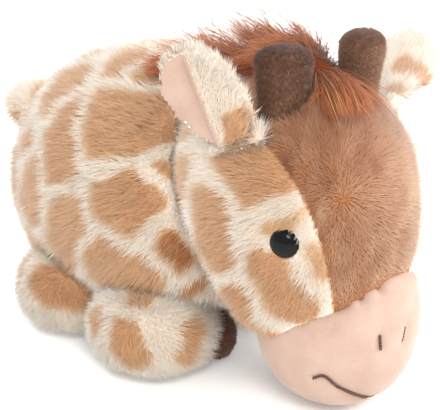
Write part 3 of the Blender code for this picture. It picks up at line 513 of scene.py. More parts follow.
def dyeAt(p, patches, seed=5):
    p = p / mm
    p = p + waveVectors(p, coatLines["wobbleSize"], seed) * coatLines["wobble"]
    gaps = []
    for a, b, r, _ in patches:
        a, b = np.array(a, float), np.array(b, float)
        way = b - a
        along = np.clip((p - a) @ way / max(way @ way, 1e-6), 0.0, 1.0)
        gaps.append(np.linalg.norm(p - a - along[:, None] * way, axis=1) - r)
    gaps = np.stack(gaps, axis=1)
    nearest = np.argmin(gaps, axis=1)
    ordered = np.partition(gaps, 1, axis=1)
    margin = np.minimum(-ordered[:, 0], (ordered[:, 1] - ordered[:, 0]) / 2 - coatLines["halfLine"])
    depth = np.array([d for _, _, _, d in patches])[nearest]
    return depth * smoothStep(-coatLines["soft"], coatLines["soft"], margin)


def bodyDye(p):
    return dyeAt(p, bodyPatches + mirrored(bodyPatches, 0, 5, 0))


def headDye(p):
    return dyeAt(p, headPatches + mirrored(headPatches, -15, -6, -2))


def legDye(leg):
    patches = legPatches[leg.replace("left", "right")]
    if leg.endswith("left"):
        patches = mirrored(patches, 0, 2, 0)
    return lambda p: dyeAt(p, patches, 8)


def tailDye(p):
    return dyeAt(p, tailPatches, 9)


# pile: every strand is a thin spike of three sides, set on its skin and combed

pile = {"sink": 0.3, "floorGap": 0.4, "lowest": 0.5, "clear": 0.6, "shortest": 0.04, "leastRise": 0.12,
        "toneSpread": 0.035}


def rootsOn(skin, density, rng, weight=None):  # places and normals, spread evenly at so many per mm2
    mesh = skin.data
    mesh.calc_loop_triangles()
    tri = np.empty(len(mesh.loop_triangles) * 3, np.int32)
    mesh.loop_triangles.foreach_get("vertices", tri)
    tri = tri.reshape(-1, 3)
    co, normal = points(mesh), points(mesh, "normal")
    a, b, c = co[tri[:, 0]], co[tri[:, 1]], co[tri[:, 2]]
    area = np.linalg.norm(np.cross(b - a, c - a), axis=1) / 2
    if weight is not None:
        area = area * np.clip(weight((a + b + c) / 3), 0.0, None)
    reach = np.cumsum(area)
    count = int(reach[-1] / mm ** 2 * density)
    order = np.searchsorted(reach, (np.arange(count) + rng.random(count)) / count * reach[-1])
    order = np.minimum(order, len(tri) - 1)
    u, v = rng.random(count), rng.random(count)
    flip = u + v > 1
    u[flip], v[flip] = 1 - u[flip], 1 - v[flip]
    share = np.stack([1 - u - v, u, v], axis=1)[:, :, None]
    return (co[tri[order]] * share).sum(1), normalised((normal[tri[order]] * share).sum(1))


def clearOf(p, trees):  # true for points that lie outside those pieces
    keep = np.ones(len(p), bool)
    for tree, low, high in trees:
        inside = keep & (p > low).all(axis=1) & (p < high).all(axis=1)
        for i in np.flatnonzero(inside):
            near, normal, _, _ = tree.find_nearest(p[i])
            if near is not None and (Vector(p[i]) - near).dot(normal) < pile["clear"] * mm:
                keep[i] = False
    return keep


def combed(*way):  # a comb that lays every strand the same way
    return lambda p, n: np.tile(way, (len(p), 1))


def strandMesh(name, lines, normal, width, tone, rng, turn=0.4):
    # lines is strands x points x 3; three corners round each point but the last, which is the tip; a
    # margin keeps each strand inside its row of the map
    count, steps = len(lines), lines.shape[1] - 1
    side = normalised(rng.normal(size=(count, 3)))
    verts = np.empty((count, steps * 3 + 1, 3), np.float32)
    shading = np.empty_like(verts)
    uv = np.empty((count, steps * 3 + 1, 2), np.float32)
    row = rng.integers(0, shades, count)
    radius = width * rng.uniform(0.75, 1.2, count) / 2
    spread = np.array([-0.004, 0.004, 0.0])
    for i in range(steps):
        way = normalised(lines[:, i + 1] - lines[:, i])
        across = normalised(np.cross(way, side))
        upward = np.cross(way, across)
        thick = (radius * (1.0 - 0.55 * i / steps))[:, None]
        for k in range(3):
            angle = math.tau * k / 3
            out = across * math.cos(angle) + upward * math.sin(angle)
            verts[:, i * 3 + k] = lines[:, i] + out * thick
            shading[:, i * 3 + k] = normalised(normal * (1 - turn * 0.5) + out * turn)
            uv[:, i * 3 + k, 0] = tone + spread[k]
            uv[:, i * 3 + k, 1] = (row + 0.08 + 0.84 * i / steps + (0.02 if k == 2 else 0.0)) / shades
    verts[:, -1] = lines[:, -1]
    shading[:, -1] = normalised(normal + normalised(lines[:, -1] - lines[:, -2]) * 0.5)
    uv[:, -1, 0] = tone
    uv[:, -1, 1] = (row + 0.92) / shades
    tris = [(0, 2, 1)]
    for i in range(steps - 1):
        for k in range(3):
            a, b = i * 3 + k, i * 3 + (k + 1) % 3
            tris += [(a, b, b + 3), (a, b + 3, a + 3)]
    last = (steps - 1) * 3
    tris += [(last, last + 1, steps * 3), (last + 1, last + 2, steps * 3), (last + 2, last, steps * 3)]
    tris = np.array(tris, np.int32)
    faces = (tris[None] + (np.arange(count, dtype=np.int32) * (steps * 3 + 1))[:, None, None]).reshape(-1, 3)
    mesh = bpy.data.meshes.new(name)
    mesh.vertices.add(verts.shape[0] * verts.shape[1])
    mesh.vertices.foreach_set("co", verts.ravel())
    mesh.loops.add(faces.size)
    mesh.loops.foreach_set("vertex_index", faces.ravel())
    mesh.polygons.add(len(faces))
    mesh.polygons.foreach_set("loop_start", np.arange(0, faces.size, 3, dtype=np.int32))
    mesh.update(calc_edges=True)
    shadeSmooth(mesh)
    strandMap = mesh.uv_layers.new(name="OFBake")
    strandMap.data.foreach_set("uv", uv.reshape(-1, 2)[faces.ravel()].ravel())
    mesh.normals_split_custom_set_from_vertices(shading.reshape(-1, 3))
    return newObject(name, mesh)


def growPile(name, skin, body, material, density, length, comb, tone, seed,
             rise=0.85, lean=0.5, width=0.40, clump=0.22, clumpSize=5.0, stray=0.2,
             factor=None, weight=None, avoid=(), gap=0.0, lift=0.3):
    rng = np.random.default_rng(seed)
    p, n = rootsOn(skin, density, rng, weight)
    share = np.ones(len(p)) if factor is None else factor(p, n)
    keep = (share > pile["shortest"]) & (p[:, 2] > pile["lowest"] * mm)
    if avoid:
        live = np.flatnonzero(keep)
        keep[live] = clearOf(p[live] + n[live] * gap * mm, avoid)
    p, n, share = p[keep], n[keep], share[keep]
    flow = comb(p, n)
    flow = normalised(flow - n * (flow * n).sum(1, keepdims=True))
    way = normalised(n * rise + flow * lean + waveVectors(p / mm, clumpSize, seed + 40) * clump
                     + rng.normal(size=p.shape) * stray)
    way = normalised(way + n * np.maximum(0.0, pile["leastRise"] - (way * n).sum(1))[:, None])
    size = length * mm * share * rng.uniform(0.72, 1.15, len(p))
    root = p - n * pile["sink"] * mm
    lines = np.stack([root, root + way * size[:, None]], axis=1)
    lines[:, :, 2] = np.maximum(lines[:, :, 2], pile["floorGap"] * mm)
    colour = np.clip(tone(p) + rng.normal(size=len(p)) * pile["toneSpread"], 0.012, 0.985)
    # light scatters through the pile, so it is shaded as if it faced a little more upward
    facing = normalised(n + np.array([0.0, 0.0, lift]))
    obj = strandMesh(name, lines, facing, width * mm, colour, rng)
    dress(obj, material)
    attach(obj, body)
    print(f"{name}: {len(p)} strands, {len(obj.data.polygons)} triangles")


# body, belly and neck

body = {"voxel": 3.5, "density": 2.8, "length": 7.8, "seamBand": 2.5, "panelEdge": 14.8, "flatTo": 1.5,
        "backRise": 3.2}
neckBall = {"centre": (-0.002, -0.042, 0.070), "axis": (-0.0539, -0.8813, 0.46947), "band": (-0.42, 0.58),
            "voxel": 3.5, "density": 1.8, "length": 5.0, "dye": 0.1}


def bodyComb(p, n):  # outward, to the rear and down
    side = np.where(p[:, :1] < 0, -1.0, 1.0)
    return np.concatenate([side * 0.45, np.full_like(side, 0.55), np.full_like(side, -0.85)], axis=1)


def onBodySeam(p):  # the seam along the back, the belly panel's edge and the flat underside
    back = np.abs(p[:, 0]) < body["seamBand"] * mm
    edge = np.abs(p[:, 2] - body["panelEdge"] * mm) < body["seamBand"] * mm
    return back | edge | (p[:, 2] < body["flatTo"] * mm)


def makeBody(made, skins):
    skin = sewSkin("bodySkin", ["body_cover_right", "body_cover_left", "belly_panel", "body_filling"], "body",
                   body["voxel"], rounds=6, pressure=4.0, held=onBodySeam, cap=1.5)
    co = points(skin.data)
    rise = smoothStep(70 * mm, 112 * mm, co[:, 2]) * smoothStep(-35 * mm, 0.0, co[:, 1])
    co[:, 2] += rise * body["backRise"] * mm
    setPoints(skin.data, co)
    dress(skin, made["backing"], bodyDye(points(skin.data)))
    skins["body"] = skin


def makeNeck(made, skins):
    skin = sewSkin("neckSkin", ["neck_filling"], "neck", neckBall["voxel"], rounds=2)
    dress(skin, made["backing"], np.zeros(len(skin.data.vertices)))
    skins["neck"] = skin


def besideHooves(p):  # the pile is trodden short where a hoof turns
    centres = [np.mean(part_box(leg + "_hoof"), axis=0) for leg in legCentres]
    near = np.min([np.linalg.norm(p - centre, axis=1) for centre in centres], axis=0)
    return grown(0.25, 15 * mm, 26 * mm, near)


def bodyFactor(p, n):  # short in the crease under the head, at the floor and beside the hooves
    neck = np.linalg.norm(p - np.array(neckBall["centre"]), axis=1)
    crease = np.where((p[:, 1] < -30 * mm) & (neck < 48 * mm), 0.55, 1.0)
    low = grown(0.25, 1.5 * mm, 9 * mm, p[:, 2])
    return crease * low * (p[:, 2] > 1.2 * mm) * besideHooves(p)


def neckBand(p):  # 1 between the rims of the body's and the head's openings
    along = normalised(p - np.array(neckBall["centre"])) @ np.array(neckBall["axis"])
    low, high = neckBall["band"]
    return ((along > low) & (along < high) & (p[:, 2] > 40 * mm)).astype(float)


def growNeck(made, skins):
    growPile("neckPile", skins["neck"], "neck", made["coat"], neckBall["density"],
             neckBall["length"], combed(0.0, 0.6, -0.7), lambda p: np.full(len(p), neckBall["dye"]), 9,
             weight=neckBand, avoid=[treeOf(skins["body"]), treeOf(skins["head"])])


def growBody(made, skins):
    trees = [treeOf(skins[k]) for k in skins if k != "body"]
    quarters = {"RightFront": (-1, -1), "RightRear": (-1, 1), "LeftFront": (1, -1), "LeftRear": (1, 1)}
    for i, (name, (across, along)) in enumerate(quarters.items()):
        def weight(p, across=across, along=along):  # this quarter alone, and sparser underneath
            under = grown(0.35, 9 * mm, 16 * mm, p[:, 2])
            return ((p[:, 0] * across >= 0) & ((p[:, 1] - 2 * mm) * along > 0)) * under

        growPile("bodyPile" + name, skins["body"], "body", made["coat"], body["density"],
                 body["length"], bodyComb, bodyDye, 11 + i, factor=bodyFactor, weight=weight, avoid=trees)


# head

headCoat = {"voxel": 3.0, "density": 3.0, "length": 5.2, "cheekLength": 7.2, "seamBand": 2.2, "overlap": 3.0,
            "jawDrop": 8.0, "jawSpread": 1.5, "blazeDye": 0.95}
muzzle = {"voxel": 2.4, "centre": (0.0030, -0.0275, -0.0545), "half": (0.0335, 0.0350, 0.03215), "bulge": 5.0,
          "top": 16.0, "easing": 12, "rear": -98.0, "leastPile": 0.34, "pileFrom": 1.0, "pileTo": 10.0}
whorl = fromHead((-0.0151, -0.0481, 0.0145))


def headComb(p, n):  # away from the whorl on the crown
    return normalised(p - whorl) + np.array([0.0, 0.15, -0.35])


def makeHead(made, skins):
    skin = sewSkin("headSkin", ["head_side_right", "head_side_left", "face_blaze", "head_filling"], "head",
                   headCoat["voxel"], rounds=5, pressure=3.0, cap=1.2,
                   held=lambda p: np.abs(blazeSeam(p)) < headCoat["seamBand"] * mm)
    # the stuffed cheeks hang a little lower beside the muzzle
    local = toHead(points(skin.data)) / mm
    jaw = smoothStep(-14.0, -44.0, local[:, 2]) * smoothStep(12.0, 27.0, np.abs(local[:, 0]))
    local[:, 2] -= headCoat["jawDrop"] * jaw
    local[:, 0] += np.sign(local[:, 0]) * headCoat["jawSpread"] * jaw
    setPoints(skin.data, fromHead(local * mm))
    co = points(skin.data)
    dye = np.where(blazeSeam(co) < 0, headCoat["blazeDye"], headDye(co))
    dress(skin, made["backing"], dye)
    skins["head"] = skin


def makeMuzzle(made, skins):
    skin = sewSkin("muzzleSkin", ["muzzle_cover", "muzzle_filling"], "head", muzzle["voxel"], rounds=4,
                   pressure=3.0, held=lambda p: p[:, 1] > muzzle["rear"] * mm, cap=1.0)
    # it is stuffed full above and in front, and its top rises over the nose
    co = points(skin.data)
    away = (toHead(co) - np.array(muzzle["centre"])) / np.array(muzzle["half"])
    bulge = smoothStep(-0.1, 0.75, away[:, 2]) * smoothStep(0.5, -0.35, away[:, 1])
    co += points(skin.data, "normal") * (bulge * muzzle["bulge"] * mm)[:, None]
    top = smoothStep(0.1, 0.9, away[:, 2]) * smoothStep(0.6, -0.3, away[:, 1])
    top *= np.exp(-((away[:, 0] - 0.05) / 0.65) ** 2)
    co[:, 2] += top * muzzle["top"] * mm
    setPoints(skin.data, co)
    soften(skin, muzzle["easing"])
    bake(skin)
    dress(skin, made["pink"])
    skins["muzzle"] = skin
    muzzle["tree"] = treeOf(skin)


def eyeFactor(p):  # none on the eyes and short round them
    far = [np.linalg.norm(p - spot["seat"], axis=1) / mm - spot["clear"] for spot in eyeSpots.values()]
    near = np.min(far, axis=0)
    return smoothStep(*eyes["edge"], near) * grown(0.5, *eyes["shortPile"], near)


def muzzleFactor(p):  # the pile is short where the velour muzzle is sewn on
    tree, low, high = muzzle["tree"]
    least, start, end = muzzle["leastPile"], muzzle["pileFrom"], muzzle["pileTo"]
    share = np.ones(len(p))
    for i in np.flatnonzero((p > low - end * mm).all(axis=1) & (p < high + end * mm).all(axis=1)):
        _, _, _, far = tree.find_nearest(p[i])
        share[i] = least + (1.0 - least) * min(1.0, max(0.0, (far / mm - start) / (end - start)))
    return share


def sideFactor(p, n):  # the cheeks' pile is short beside the seam, and none grows on the blaze
    seam = blazeSeam(p)
    return eyeFactor(p) * muzzleFactor(p) * grown(0.45, 0.0, 5 * mm, seam) * (seam >= 0)


def blazeFactor(p, n):  # the blaze's pile is short on the face and beside the seam
    seam = blazeSeam(p)
    face = grown(0.75, -20 * mm, 30 * mm, toHead(p)[:, 2])
    return eyeFactor(p) * muzzleFactor(p) * face * (seam < 0) * grown(0.6, 0.0, 5 * mm, -seam)


def blazeDye(p):  # darker beside the seams and paler towards the nose
    local = toHead(p) / mm
    seam = -blazeSeam(p) / mm
    base = 0.64 + 0.12 * waves(local, 9.0, 71) + 0.08 * waves(local, 4.0, 72)
    edge = np.exp(-(seam / 3.0) ** 2) * smoothStep(-25.0, 5.0, local[:, 2])
    dark = edge * (0.2 + 0.16 * waves(local, 6.0, 73))
    crown = 0.36 * smoothStep(6.0, 40.0, local[:, 2])
    return np.clip(base - dark - crown, 0.05, 0.97)


def growHead(made, skins):
    trees = [treeOf(skins[k]) for k in skins if k != "head"]
    overlap = headCoat["overlap"] * mm
    halves = {"Right": lambda p: ((toHead(p)[:, 0] < 0) & (blazeSeam(p) > -overlap)).astype(float),
              "Left": lambda p: ((toHead(p)[:, 0] >= 0) & (blazeSeam(p) > -overlap)).astype(float)}
    for i, (name, weight) in enumerate(halves.items()):
        growPile("headPile" + name, skins["head"], "head", made["coat"],
                 headCoat["density"], headCoat["cheekLength"], headComb, headDye, 21 + i, factor=sideFactor,
                 weight=weight, avoid=trees)
    growPile("blazePile", skins["head"], "head", made["blaze"], headCoat["density"],
             headCoat["length"], headComb, blazeDye, 25, factor=blazeFactor,
             weight=lambda p: (blazeSeam(p) < overlap).astype(float), avoid=trees, rise=0.8)


# eyes: glossy domes; deeper and clear say how far one is sunk and its pile kept off, in mm

eyes = {"radius": 6.2, "height": 3.9, "back": 0.35, "sink": 0.3, "rim": 0.1, "washerRim": 0.15,
        "segments": 48, "rings": 24, "edge": (5.2, 6.4), "shortPile": (7.0, 15.0)}
eyeSpots = {"right": {"seat": (-0.047098, -0.124109, 0.083651), "normal": (-0.90989, -0.41376, 0.02998),
                      "deeper": 0.0, "clear": 0.0},
            "left": {"deeper": 1.4, "clear": 1.0}}


def mirrorEye():  # the left eye mirrors the right one across the head
    flip = np.array([-1, 1, 1])
    turn = np.array(headPlace.to_3x3())
    local = toHead(np.array([eyeSpots["right"]["seat"]])) * flip
    normal = (np.array(eyeSpots["right"]["normal"]) @ turn) * flip
    eyeSpots["left"].update(seat=tuple(fromHead(local)[0]), normal=tuple(turn @ normal))


def makeEyes(made, skins):
    mirrorEye()
    for side, spot in eyeSpots.items():
        bpy.ops.mesh.primitive_uv_sphere_add(segments=eyes["segments"], ring_count=eyes["rings"],
                                             radius=eyes["radius"] * mm, location=(0, 0, 0))
        dome = bpy.context.object
        dome.name = dome.data.name = "eyeDome" + titled(side)
        co = points(dome.data)
        co[:, 2] *= np.where(co[:, 2] > 0, eyes["height"] / eyes["radius"], eyes["back"])
        setPoints(dome.data, co)
        bevelled(dome, eyes["rim"])
        normal = Vector(spot["normal"]).normalized()
        seat = Vector(spot["seat"]) - normal * (spot["deeper"] + eyes["sink"]) * mm
        dome.data.transform(Matrix.Translation(seat) @ normal.to_track_quat("Z", "Y").to_matrix().to_4x4())
        shadeSmooth(dome.data)
        dress(dome, made["eye"])
        washer = mergedCopy("eyeWasher" + titled(side), ["eye_washer_" + side])
        bevelled(washer, eyes["washerRim"])
        dress(washer, made["nylon"])
        for obj, node in ((dome, "eye_" + side), (washer, "eye_washer_" + side)):
            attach(obj, "head")
            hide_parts(node)


# muzzle stitches: a twisted thread laid on the velour, in shares of the muzzle's half size

stitches = {"radius": 0.46, "ply": 0.30, "pitch": 2.6, "sides": 6, "sink": 0.25, "crease": 0.95,
            "fade": (0.53, 0.61), "pull": 0.9, "pullWidth": 2.2,
            "nostril": ((-0.215, 0.40), (-0.20, 0.29), (-0.18, 0.18)),
            "mouth": ((-0.79, -0.29), (-0.72, -0.22), (-0.565, -0.37), (-0.335, -0.52), (-0.08, -0.66),
                      (0.14, -0.74), (0.36, -0.74), (0.54, -0.66))}


def smoothPath(corners, count):  # a smooth line through the corners
    corners = np.asarray(corners, float)
    padded = np.concatenate([[2 * corners[0] - corners[1]], corners, [2 * corners[-1] - corners[-2]]])
    out = []
    for t in np.linspace(0, len(corners) - 1 - 1e-9, count):
        i = int(t)
        f = t - i
        a, b, c, d = padded[i:i + 4]
        square, cube = 2 * a - 5 * b + 4 * c - d, 3 * b - a - 3 * c + d
        out.append(0.5 * (2 * b + (c - a) * f + square * f ** 2 + cube * f ** 3))
    return np.array(out)


def onMuzzle(tree, across, up):  # the velour's place and normal at that share of its half size
    x, y, z = muzzle["centre"]
    start = [x + across * muzzle["half"][0], y - 60 * mm, z + up * muzzle["half"][2]]
    way = headPlace.to_3x3() @ Vector((0.0, 1.0, 0.0))
    hit, normal, _, _ = tree.ray_cast(Vector(fromHead(np.array([start]))[0]), way)
    return np.array(hit), np.array(normal)


def layThread(name, path, normals, material):  # two plies twisted round each other
    verts, faces = [], []
    length = np.concatenate([[0.0], np.cumsum(np.linalg.norm(np.diff(path, axis=0), axis=1))]) / mm
    corners = stitches["sides"]
    for ply in range(2):
        first = len(verts)
        for i, p in enumerate(path):
            way = normalised(path[min(i + 1, len(path) - 1)] - path[max(i - 1, 0)])
            up = normalised(normals[i] - way * (normals[i] @ way))
            across = np.cross(way, up)
            angle = math.tau * length[i] / stitches["pitch"] + math.pi * ply
            ends = 0.35 if i in (0, len(path) - 1) else 1.0
            centre = p + (up * math.sin(angle) + across * math.cos(angle)) * stitches["ply"] * mm * ends
            for k in range(corners):
                turn = math.tau * k / corners
                out = up * math.sin(turn) + across * math.cos(turn)
                verts.append(centre + out * stitches["radius"] * mm * ends)
        for i in range(len(path) - 1):
            for k in range(corners):
                a, b = first + i * corners + k, first + i * corners + (k + 1) % corners
                faces.append((a, b, b + corners, a + corners))
        last = first + (len(path) - 1) * corners
        faces.append(tuple(first + k for k in reversed(range(corners))))
        faces.append(tuple(last + k for k in range(corners)))
    mesh = bpy.data.meshes.new(name)
    mesh.from_pydata([tuple(v) for v in verts], [], faces)
    obj = newObject(name, mesh)
    inEditMode(obj, bpy.ops.mesh.normals_make_consistent, inside=False)
    shadeSmooth(mesh)
    dress(obj, material)
    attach(obj, "head")
    return obj


def makeStitches(made, skins):
    skin = skins["muzzle"]
    tree, _, _ = treeOf(skin)
    # corners, points, and where the thread is drawn down into a crease: the mouth's second half and
    # the left nostril
    threads = {"mouth_stitch": (stitches["mouth"], 90, lambda share: smoothStep(*stitches["fade"], share)),
               "nostril_stitch_right": (stitches["nostril"], 24, np.zeros_like),
               "nostril_stitch_left": ([(-a, u) for a, u in stitches["nostril"]], 24, np.ones_like)}
    pulls = []
    for node, (corners, count, creased) in threads.items():
        laid = [onMuzzle(tree, a, u) for a, u in smoothPath(corners, count)]
        path = np.array([p for p, _ in laid])
        normals = np.array([n for _, n in laid])
        depth = stitches["sink"] + creased(np.linspace(0.0, 1.0, count)) * stitches["crease"]
        pulls.append(path)
        name = titled(node)
        name = name[0].lower() + name[1:]
        thread = layThread(name, path - normals * (depth * mm)[:, None], normals, made["thread"])
        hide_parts(node)
    # the thread pulls the velour in a little beside each line
    co = points(skin.data)
    pull = np.concatenate(pulls)
    near = np.array([np.min(np.linalg.norm(pull - p, axis=1)) for p in co])
    dent = stitches["pull"] * mm * np.exp(-(near / (stitches["pullWidth"] * mm)) ** 2)
    setPoints(skin.data, co - points(skin.data, "normal") * dent[:, None])


# horns and hooves: short brown velour

# paintedLight is how much lighter the far horn is painted, for the light that falls on it from the right
brown = {"hornVoxel": 0.9, "hornSlim": 0.90, "flatFrom": 0.72, "flatten": 0.4, "density": 7.0, "nap": 1.6,
         "hoofVoxel": 1.0, "hoofDensity": 5.0, "hoofNap": 1.8, "capShade": 0.32, "paintedLight": 0.3,
         "seeds": {"right": 36, "left": 35}}


def brownDye(p):
    streak = waves(p / mm * np.array([1.0, 1.0, 0.7]), 0.7, 81)
    patch = waves(p / mm, 8.0, 82)
    high = smoothStep(-0.2, 0.9, streak)
    cap = smoothStep(147 * mm, 150.5 * mm, p[:, 2]) * brown["capShade"]
    # painted light: the left horn, the far one, is drawn lighter, as light falls on it from the right
    paintedLight = brown["paintedLight"] * (p[:, 0] > 0) * (p[:, 2] > 110 * mm)
    return np.clip(0.46 + 0.34 * high + 0.12 * patch - cap + paintedLight, 0.03, 0.97)


def makeBrown(made, skins):
    for side in sides:
        skin = sewSkin("hornSkin" + titled(side), ["horn_" + side], "head", brown["hornVoxel"], rounds=1,
                       fine=0)
        co = spreadOut(points(skin.data), np.array([brown["hornSlim"], brown["hornSlim"], 1.0]))
        # a sewn disc closes the top, so it is flatter than the remesh leaves it
        low, tall = co[:, 2].min(), np.ptp(co[:, 2])
        share = (co[:, 2] - low) / tall
        start, flatten = brown["flatFrom"], brown["flatten"]
        flat = np.where(share < start, share, start + (share - start) * flatten)
        co[:, 2] = low + flat / (start + (1.0 - start) * flatten) * tall
        setPoints(skin.data, co)
        dress(skin, made["brown"])
        skins["horn" + side] = skin
    for leg in legCentres:
        skin = sewSkin("hoofSkin" + titled(leg), [leg + "_hoof"], leg, brown["hoofVoxel"], rounds=4)
        dress(skin, made["brown"])
        skins["hoof" + leg] = skin


def growBrown(made, skins):
    for side in sides:
        growPile("hornNap" + titled(side), skins["horn" + side], "head", made["brownNap"],
                 brown["density"], brown["nap"], combed(0.1, 0.2, -1.0), brownDye, brown["seeds"][side],
                 rise=0.8, width=0.26, clump=0.35, clumpSize=1.6, stray=0.3)
    for i, leg in enumerate(legCentres):
        growPile("hoofNap" + titled(leg), skins["hoof" + leg], leg, made["brownNap"],
                 brown["hoofDensity"], brown["hoofNap"], combed(0.1, 0.3, -1.0), brownDye, 36 + i,
                 rise=0.6, width=0.3, clump=0.3, clumpSize=3.0, avoid=[treeOf(skins[leg])])


# legs and tail

legs = {"voxel": 2.2, "density": 3.2, "length": 6.4, "swirl": 0.7, "flatTo": 1.5}
tail = {"voxel": 1.6, "density": 3.4, "length": 8.0}
legCentres = {"leg_front_right": (-46, -46), "leg_front_left": (46, -46), "leg_rear_right": (-46, 7),
              "leg_rear_left": (46, 7)}


def makeLegs(made, skins):
    for leg in legCentres:
        skin = sewSkin(titled(leg) + "Skin", [leg + "_cover", leg + "_filling"], leg, legs["voxel"], rounds=4,
                       pressure=3.0, held=lambda p: p[:, 2] < legs["flatTo"] * mm, cap=0.8)
        dress(skin, made["backing"], legDye(leg)(points(skin.data)))
        skins[leg] = skin
    skin = sewSkin("tailSkin", ["tail"], "tail", tail["voxel"], rounds=5)
    dress(skin, made["backing"], tailDye(points(skin.data)))
    skins["tail"] = skin


def growLegs(made, skins):
    bodyTree = treeOf(skins["body"])
    for i, (leg, centre) in enumerate(legCentres.items()):
        def legComb(p, n, centre=np.array([*centre, 0]) * mm):  # outward, round the leg and down
            away = (p - centre) * np.array([1, 1, 0])
            swirl = np.stack([-away[:, 1], away[:, 0], np.zeros(len(p))], axis=1)
            return normalised(away) + normalised(swirl) * legs["swirl"] + np.array([0, 0, -0.7])

        growPile(titled(leg) + "Pile", skins[leg], leg, made["coat"], legs["density"],
                 legs["length"], legComb, legDye(leg), 51 + i,
                 factor=lambda p, n: grown(0.3, 1 * mm, 8 * mm, p[:, 2]) * (p[:, 2] > 1 * mm),
                 avoid=[bodyTree, treeOf(skins["hoof" + leg])], gap=0.8)
    growPile("tailPile", skins["tail"], "tail", made["coat"], tail["density"], tail["length"],
             combed(0.0, 1.0, -0.25), tailDye, 57, avoid=[bodyTree])


# ears: plush back, velour lining, and on the near ear the front half folded over

ears = {"voxel": 1.2, "liningVoxel": 0.9, "density": 3.2, "length": 6.0, "fold": 3.4, "liningSpread": 1.12,
        "liningShift": 0.8, "backSpread": 0.94, "foldDensity": 4.5, "foldLength": 6.4,
        "right": {"root": (-0.043688, -0.094214, 0.116285), "along": (-0.27677, 0.84027, -0.46621),
                  "up": (-0.42, 0.33, 0.84)},
        "left": {"root": (0.030717, -0.103349, 0.1117), "along": (0.41285, 0.75759, -0.50557),
                 "up": (0.86, -0.10, 0.35)}}
earPatches = {"right": [((-50, -101, 129), (-49, -100, 117), 6, 0.72),
                        ((-53, -101, 156), (-52, -104, 149), 4, 0.45)],
              "left": [((52, -95, 130), (46, -112, 128), 10, 0.74),
                       ((32, -96, 122), (36, -104, 122), 7, 0.74)]}


def earDye(side):
    return lambda p: dyeAt(p, earPatches[side], 4)


def earPlace(side, p):  # mm along the root, up the ear and out of it, and the last two directions
    ear = ears[side]
    along = np.array(ear["along"]) / np.linalg.norm(ear["along"])
    up = normalised(np.array(ear["up"]) - along * (np.array(ear["up"]) @ along))
    away = (p - np.array(ear["root"])) / mm
    return away @ along, away @ up, away @ np.cross(along, up), up, along


def foldShare(p, low, high):  # rises from 0 to 1 between those distances in front of the crease
    u, v, _, _, _ = earPlace("right", p)
    crease = 6.5 - 7.1 * (v - 4.0) / 34.0
    return smoothStep(low, high, crease - u)


def foldEar(back, lining):  # the velour reaches the rim all round, and its front half is folded and stuffed
    setPoints(back.data, spreadOut(points(back.data), ears["backSpread"]))
    co = points(lining.data)
    _, _, w, up, along = earPlace("right", co)
    out = np.cross(along, up) * np.sign(np.mean(w - earPlace("right", points(back.data))[2].mean()))
    ears["facing"] = float(np.sign(out @ np.cross(along, up)))
    shift = ears["liningShift"]
    co = spreadOut(co, ears["liningSpread"]) + out * shift * mm - up * shift * mm
    co += out * (foldShare(co, 0.0, 2.6) * ears["fold"] * mm)[:, None]
    setPoints(lining.data, co)


def makeEars(made, skins):
    for side in sides:
        ear = "ear_" + side
        back = sewSkin("earSkin" + titled(side), ["ear_back_" + side], ear, ears["voxel"], rounds=2,
                       fine=0)
        dress(back, made["backing"], earDye(side)(points(back.data)))
        lining = sewSkin("earLining" + titled(side), ["ear_lining_" + side], ear, ears["liningVoxel"],
                         rounds=2, fine=0)
        dress(lining, made["pink"])
        if side == "right":
            foldEar(back, lining)
        skins["ear" + side] = back
        skins["lining" + side] = lining


def nearEarFactor(p, n):  # the velour's rear edge shows bare, so the pile is short behind it
    u, v, _, up, along = earPlace("right", p)
    facing = n @ np.cross(along, up) * ears["facing"]
    bare = (u > 3) & (v > 5) & (v < 39) & (facing > -0.93)
    behind = 1.0 - 0.55 * smoothStep(-2, 5, u) * smoothStep(40, 36, v)
    return (1.2 - 0.3 * smoothStep(3, 12, v) + 0.1 * smoothStep(20, 40, v)) * (1.0 - bare) * behind


def foldComb(p, n):  # towards the tip and forward over the fold
    _, _, _, up, along = earPlace("right", p)
    return up * 0.8 - along * 0.9 + np.zeros((len(p), 1))


def growEars(made, skins):
    for i, side in enumerate(sides):
        near = side == "right"

        def comb(p, n, side=side, rear=0.0 if near else 0.35):  # up the ear, and outward in its halves
            u, _, _, up, along = earPlace(side, p)
            outward = np.where(u < 0, -0.35, rear)[:, None]
            return up * 1.0 + along * outward + np.array([0.0, 0.0, -0.15])

        growPile("earPile" + titled(side), skins["ear" + side], "ear_" + side, made["coat"],
                 ears["density"], ears["length"], comb, earDye(side), 61 + i,
                 factor=nearEarFactor if near else None, avoid=[treeOf(skins["lining" + side])], gap=1.5,
                 rise=0.45, lean=0.95, lift=1.0 if near else 0.0)
    growPile("earFoldPile", skins["liningright"], "ear_right", made["coat"],
             ears["foldDensity"], ears["foldLength"], foldComb, earDye("right"), 66,
             factor=lambda p, n: foldShare(p, 2.4, 4.2), avoid=[treeOf(skins["earright"])], gap=0.6,
             rise=0.4, lean=1.0, clump=0.14, stray=0.14, lift=0.9)


# mane: long rust hair in locks

mane = {"voxel": 1.6, "density": 4.8, "length": 24.0, "steps": 5, "width": 0.29, "locks": 150, "gather": 0.6,
        "wisps": 0.03, "clear": 2.0, "layer": 4.0, "flat": 0.74, "rearDrop": 6.0, "sunk": 7.0, "backing": 0.3}


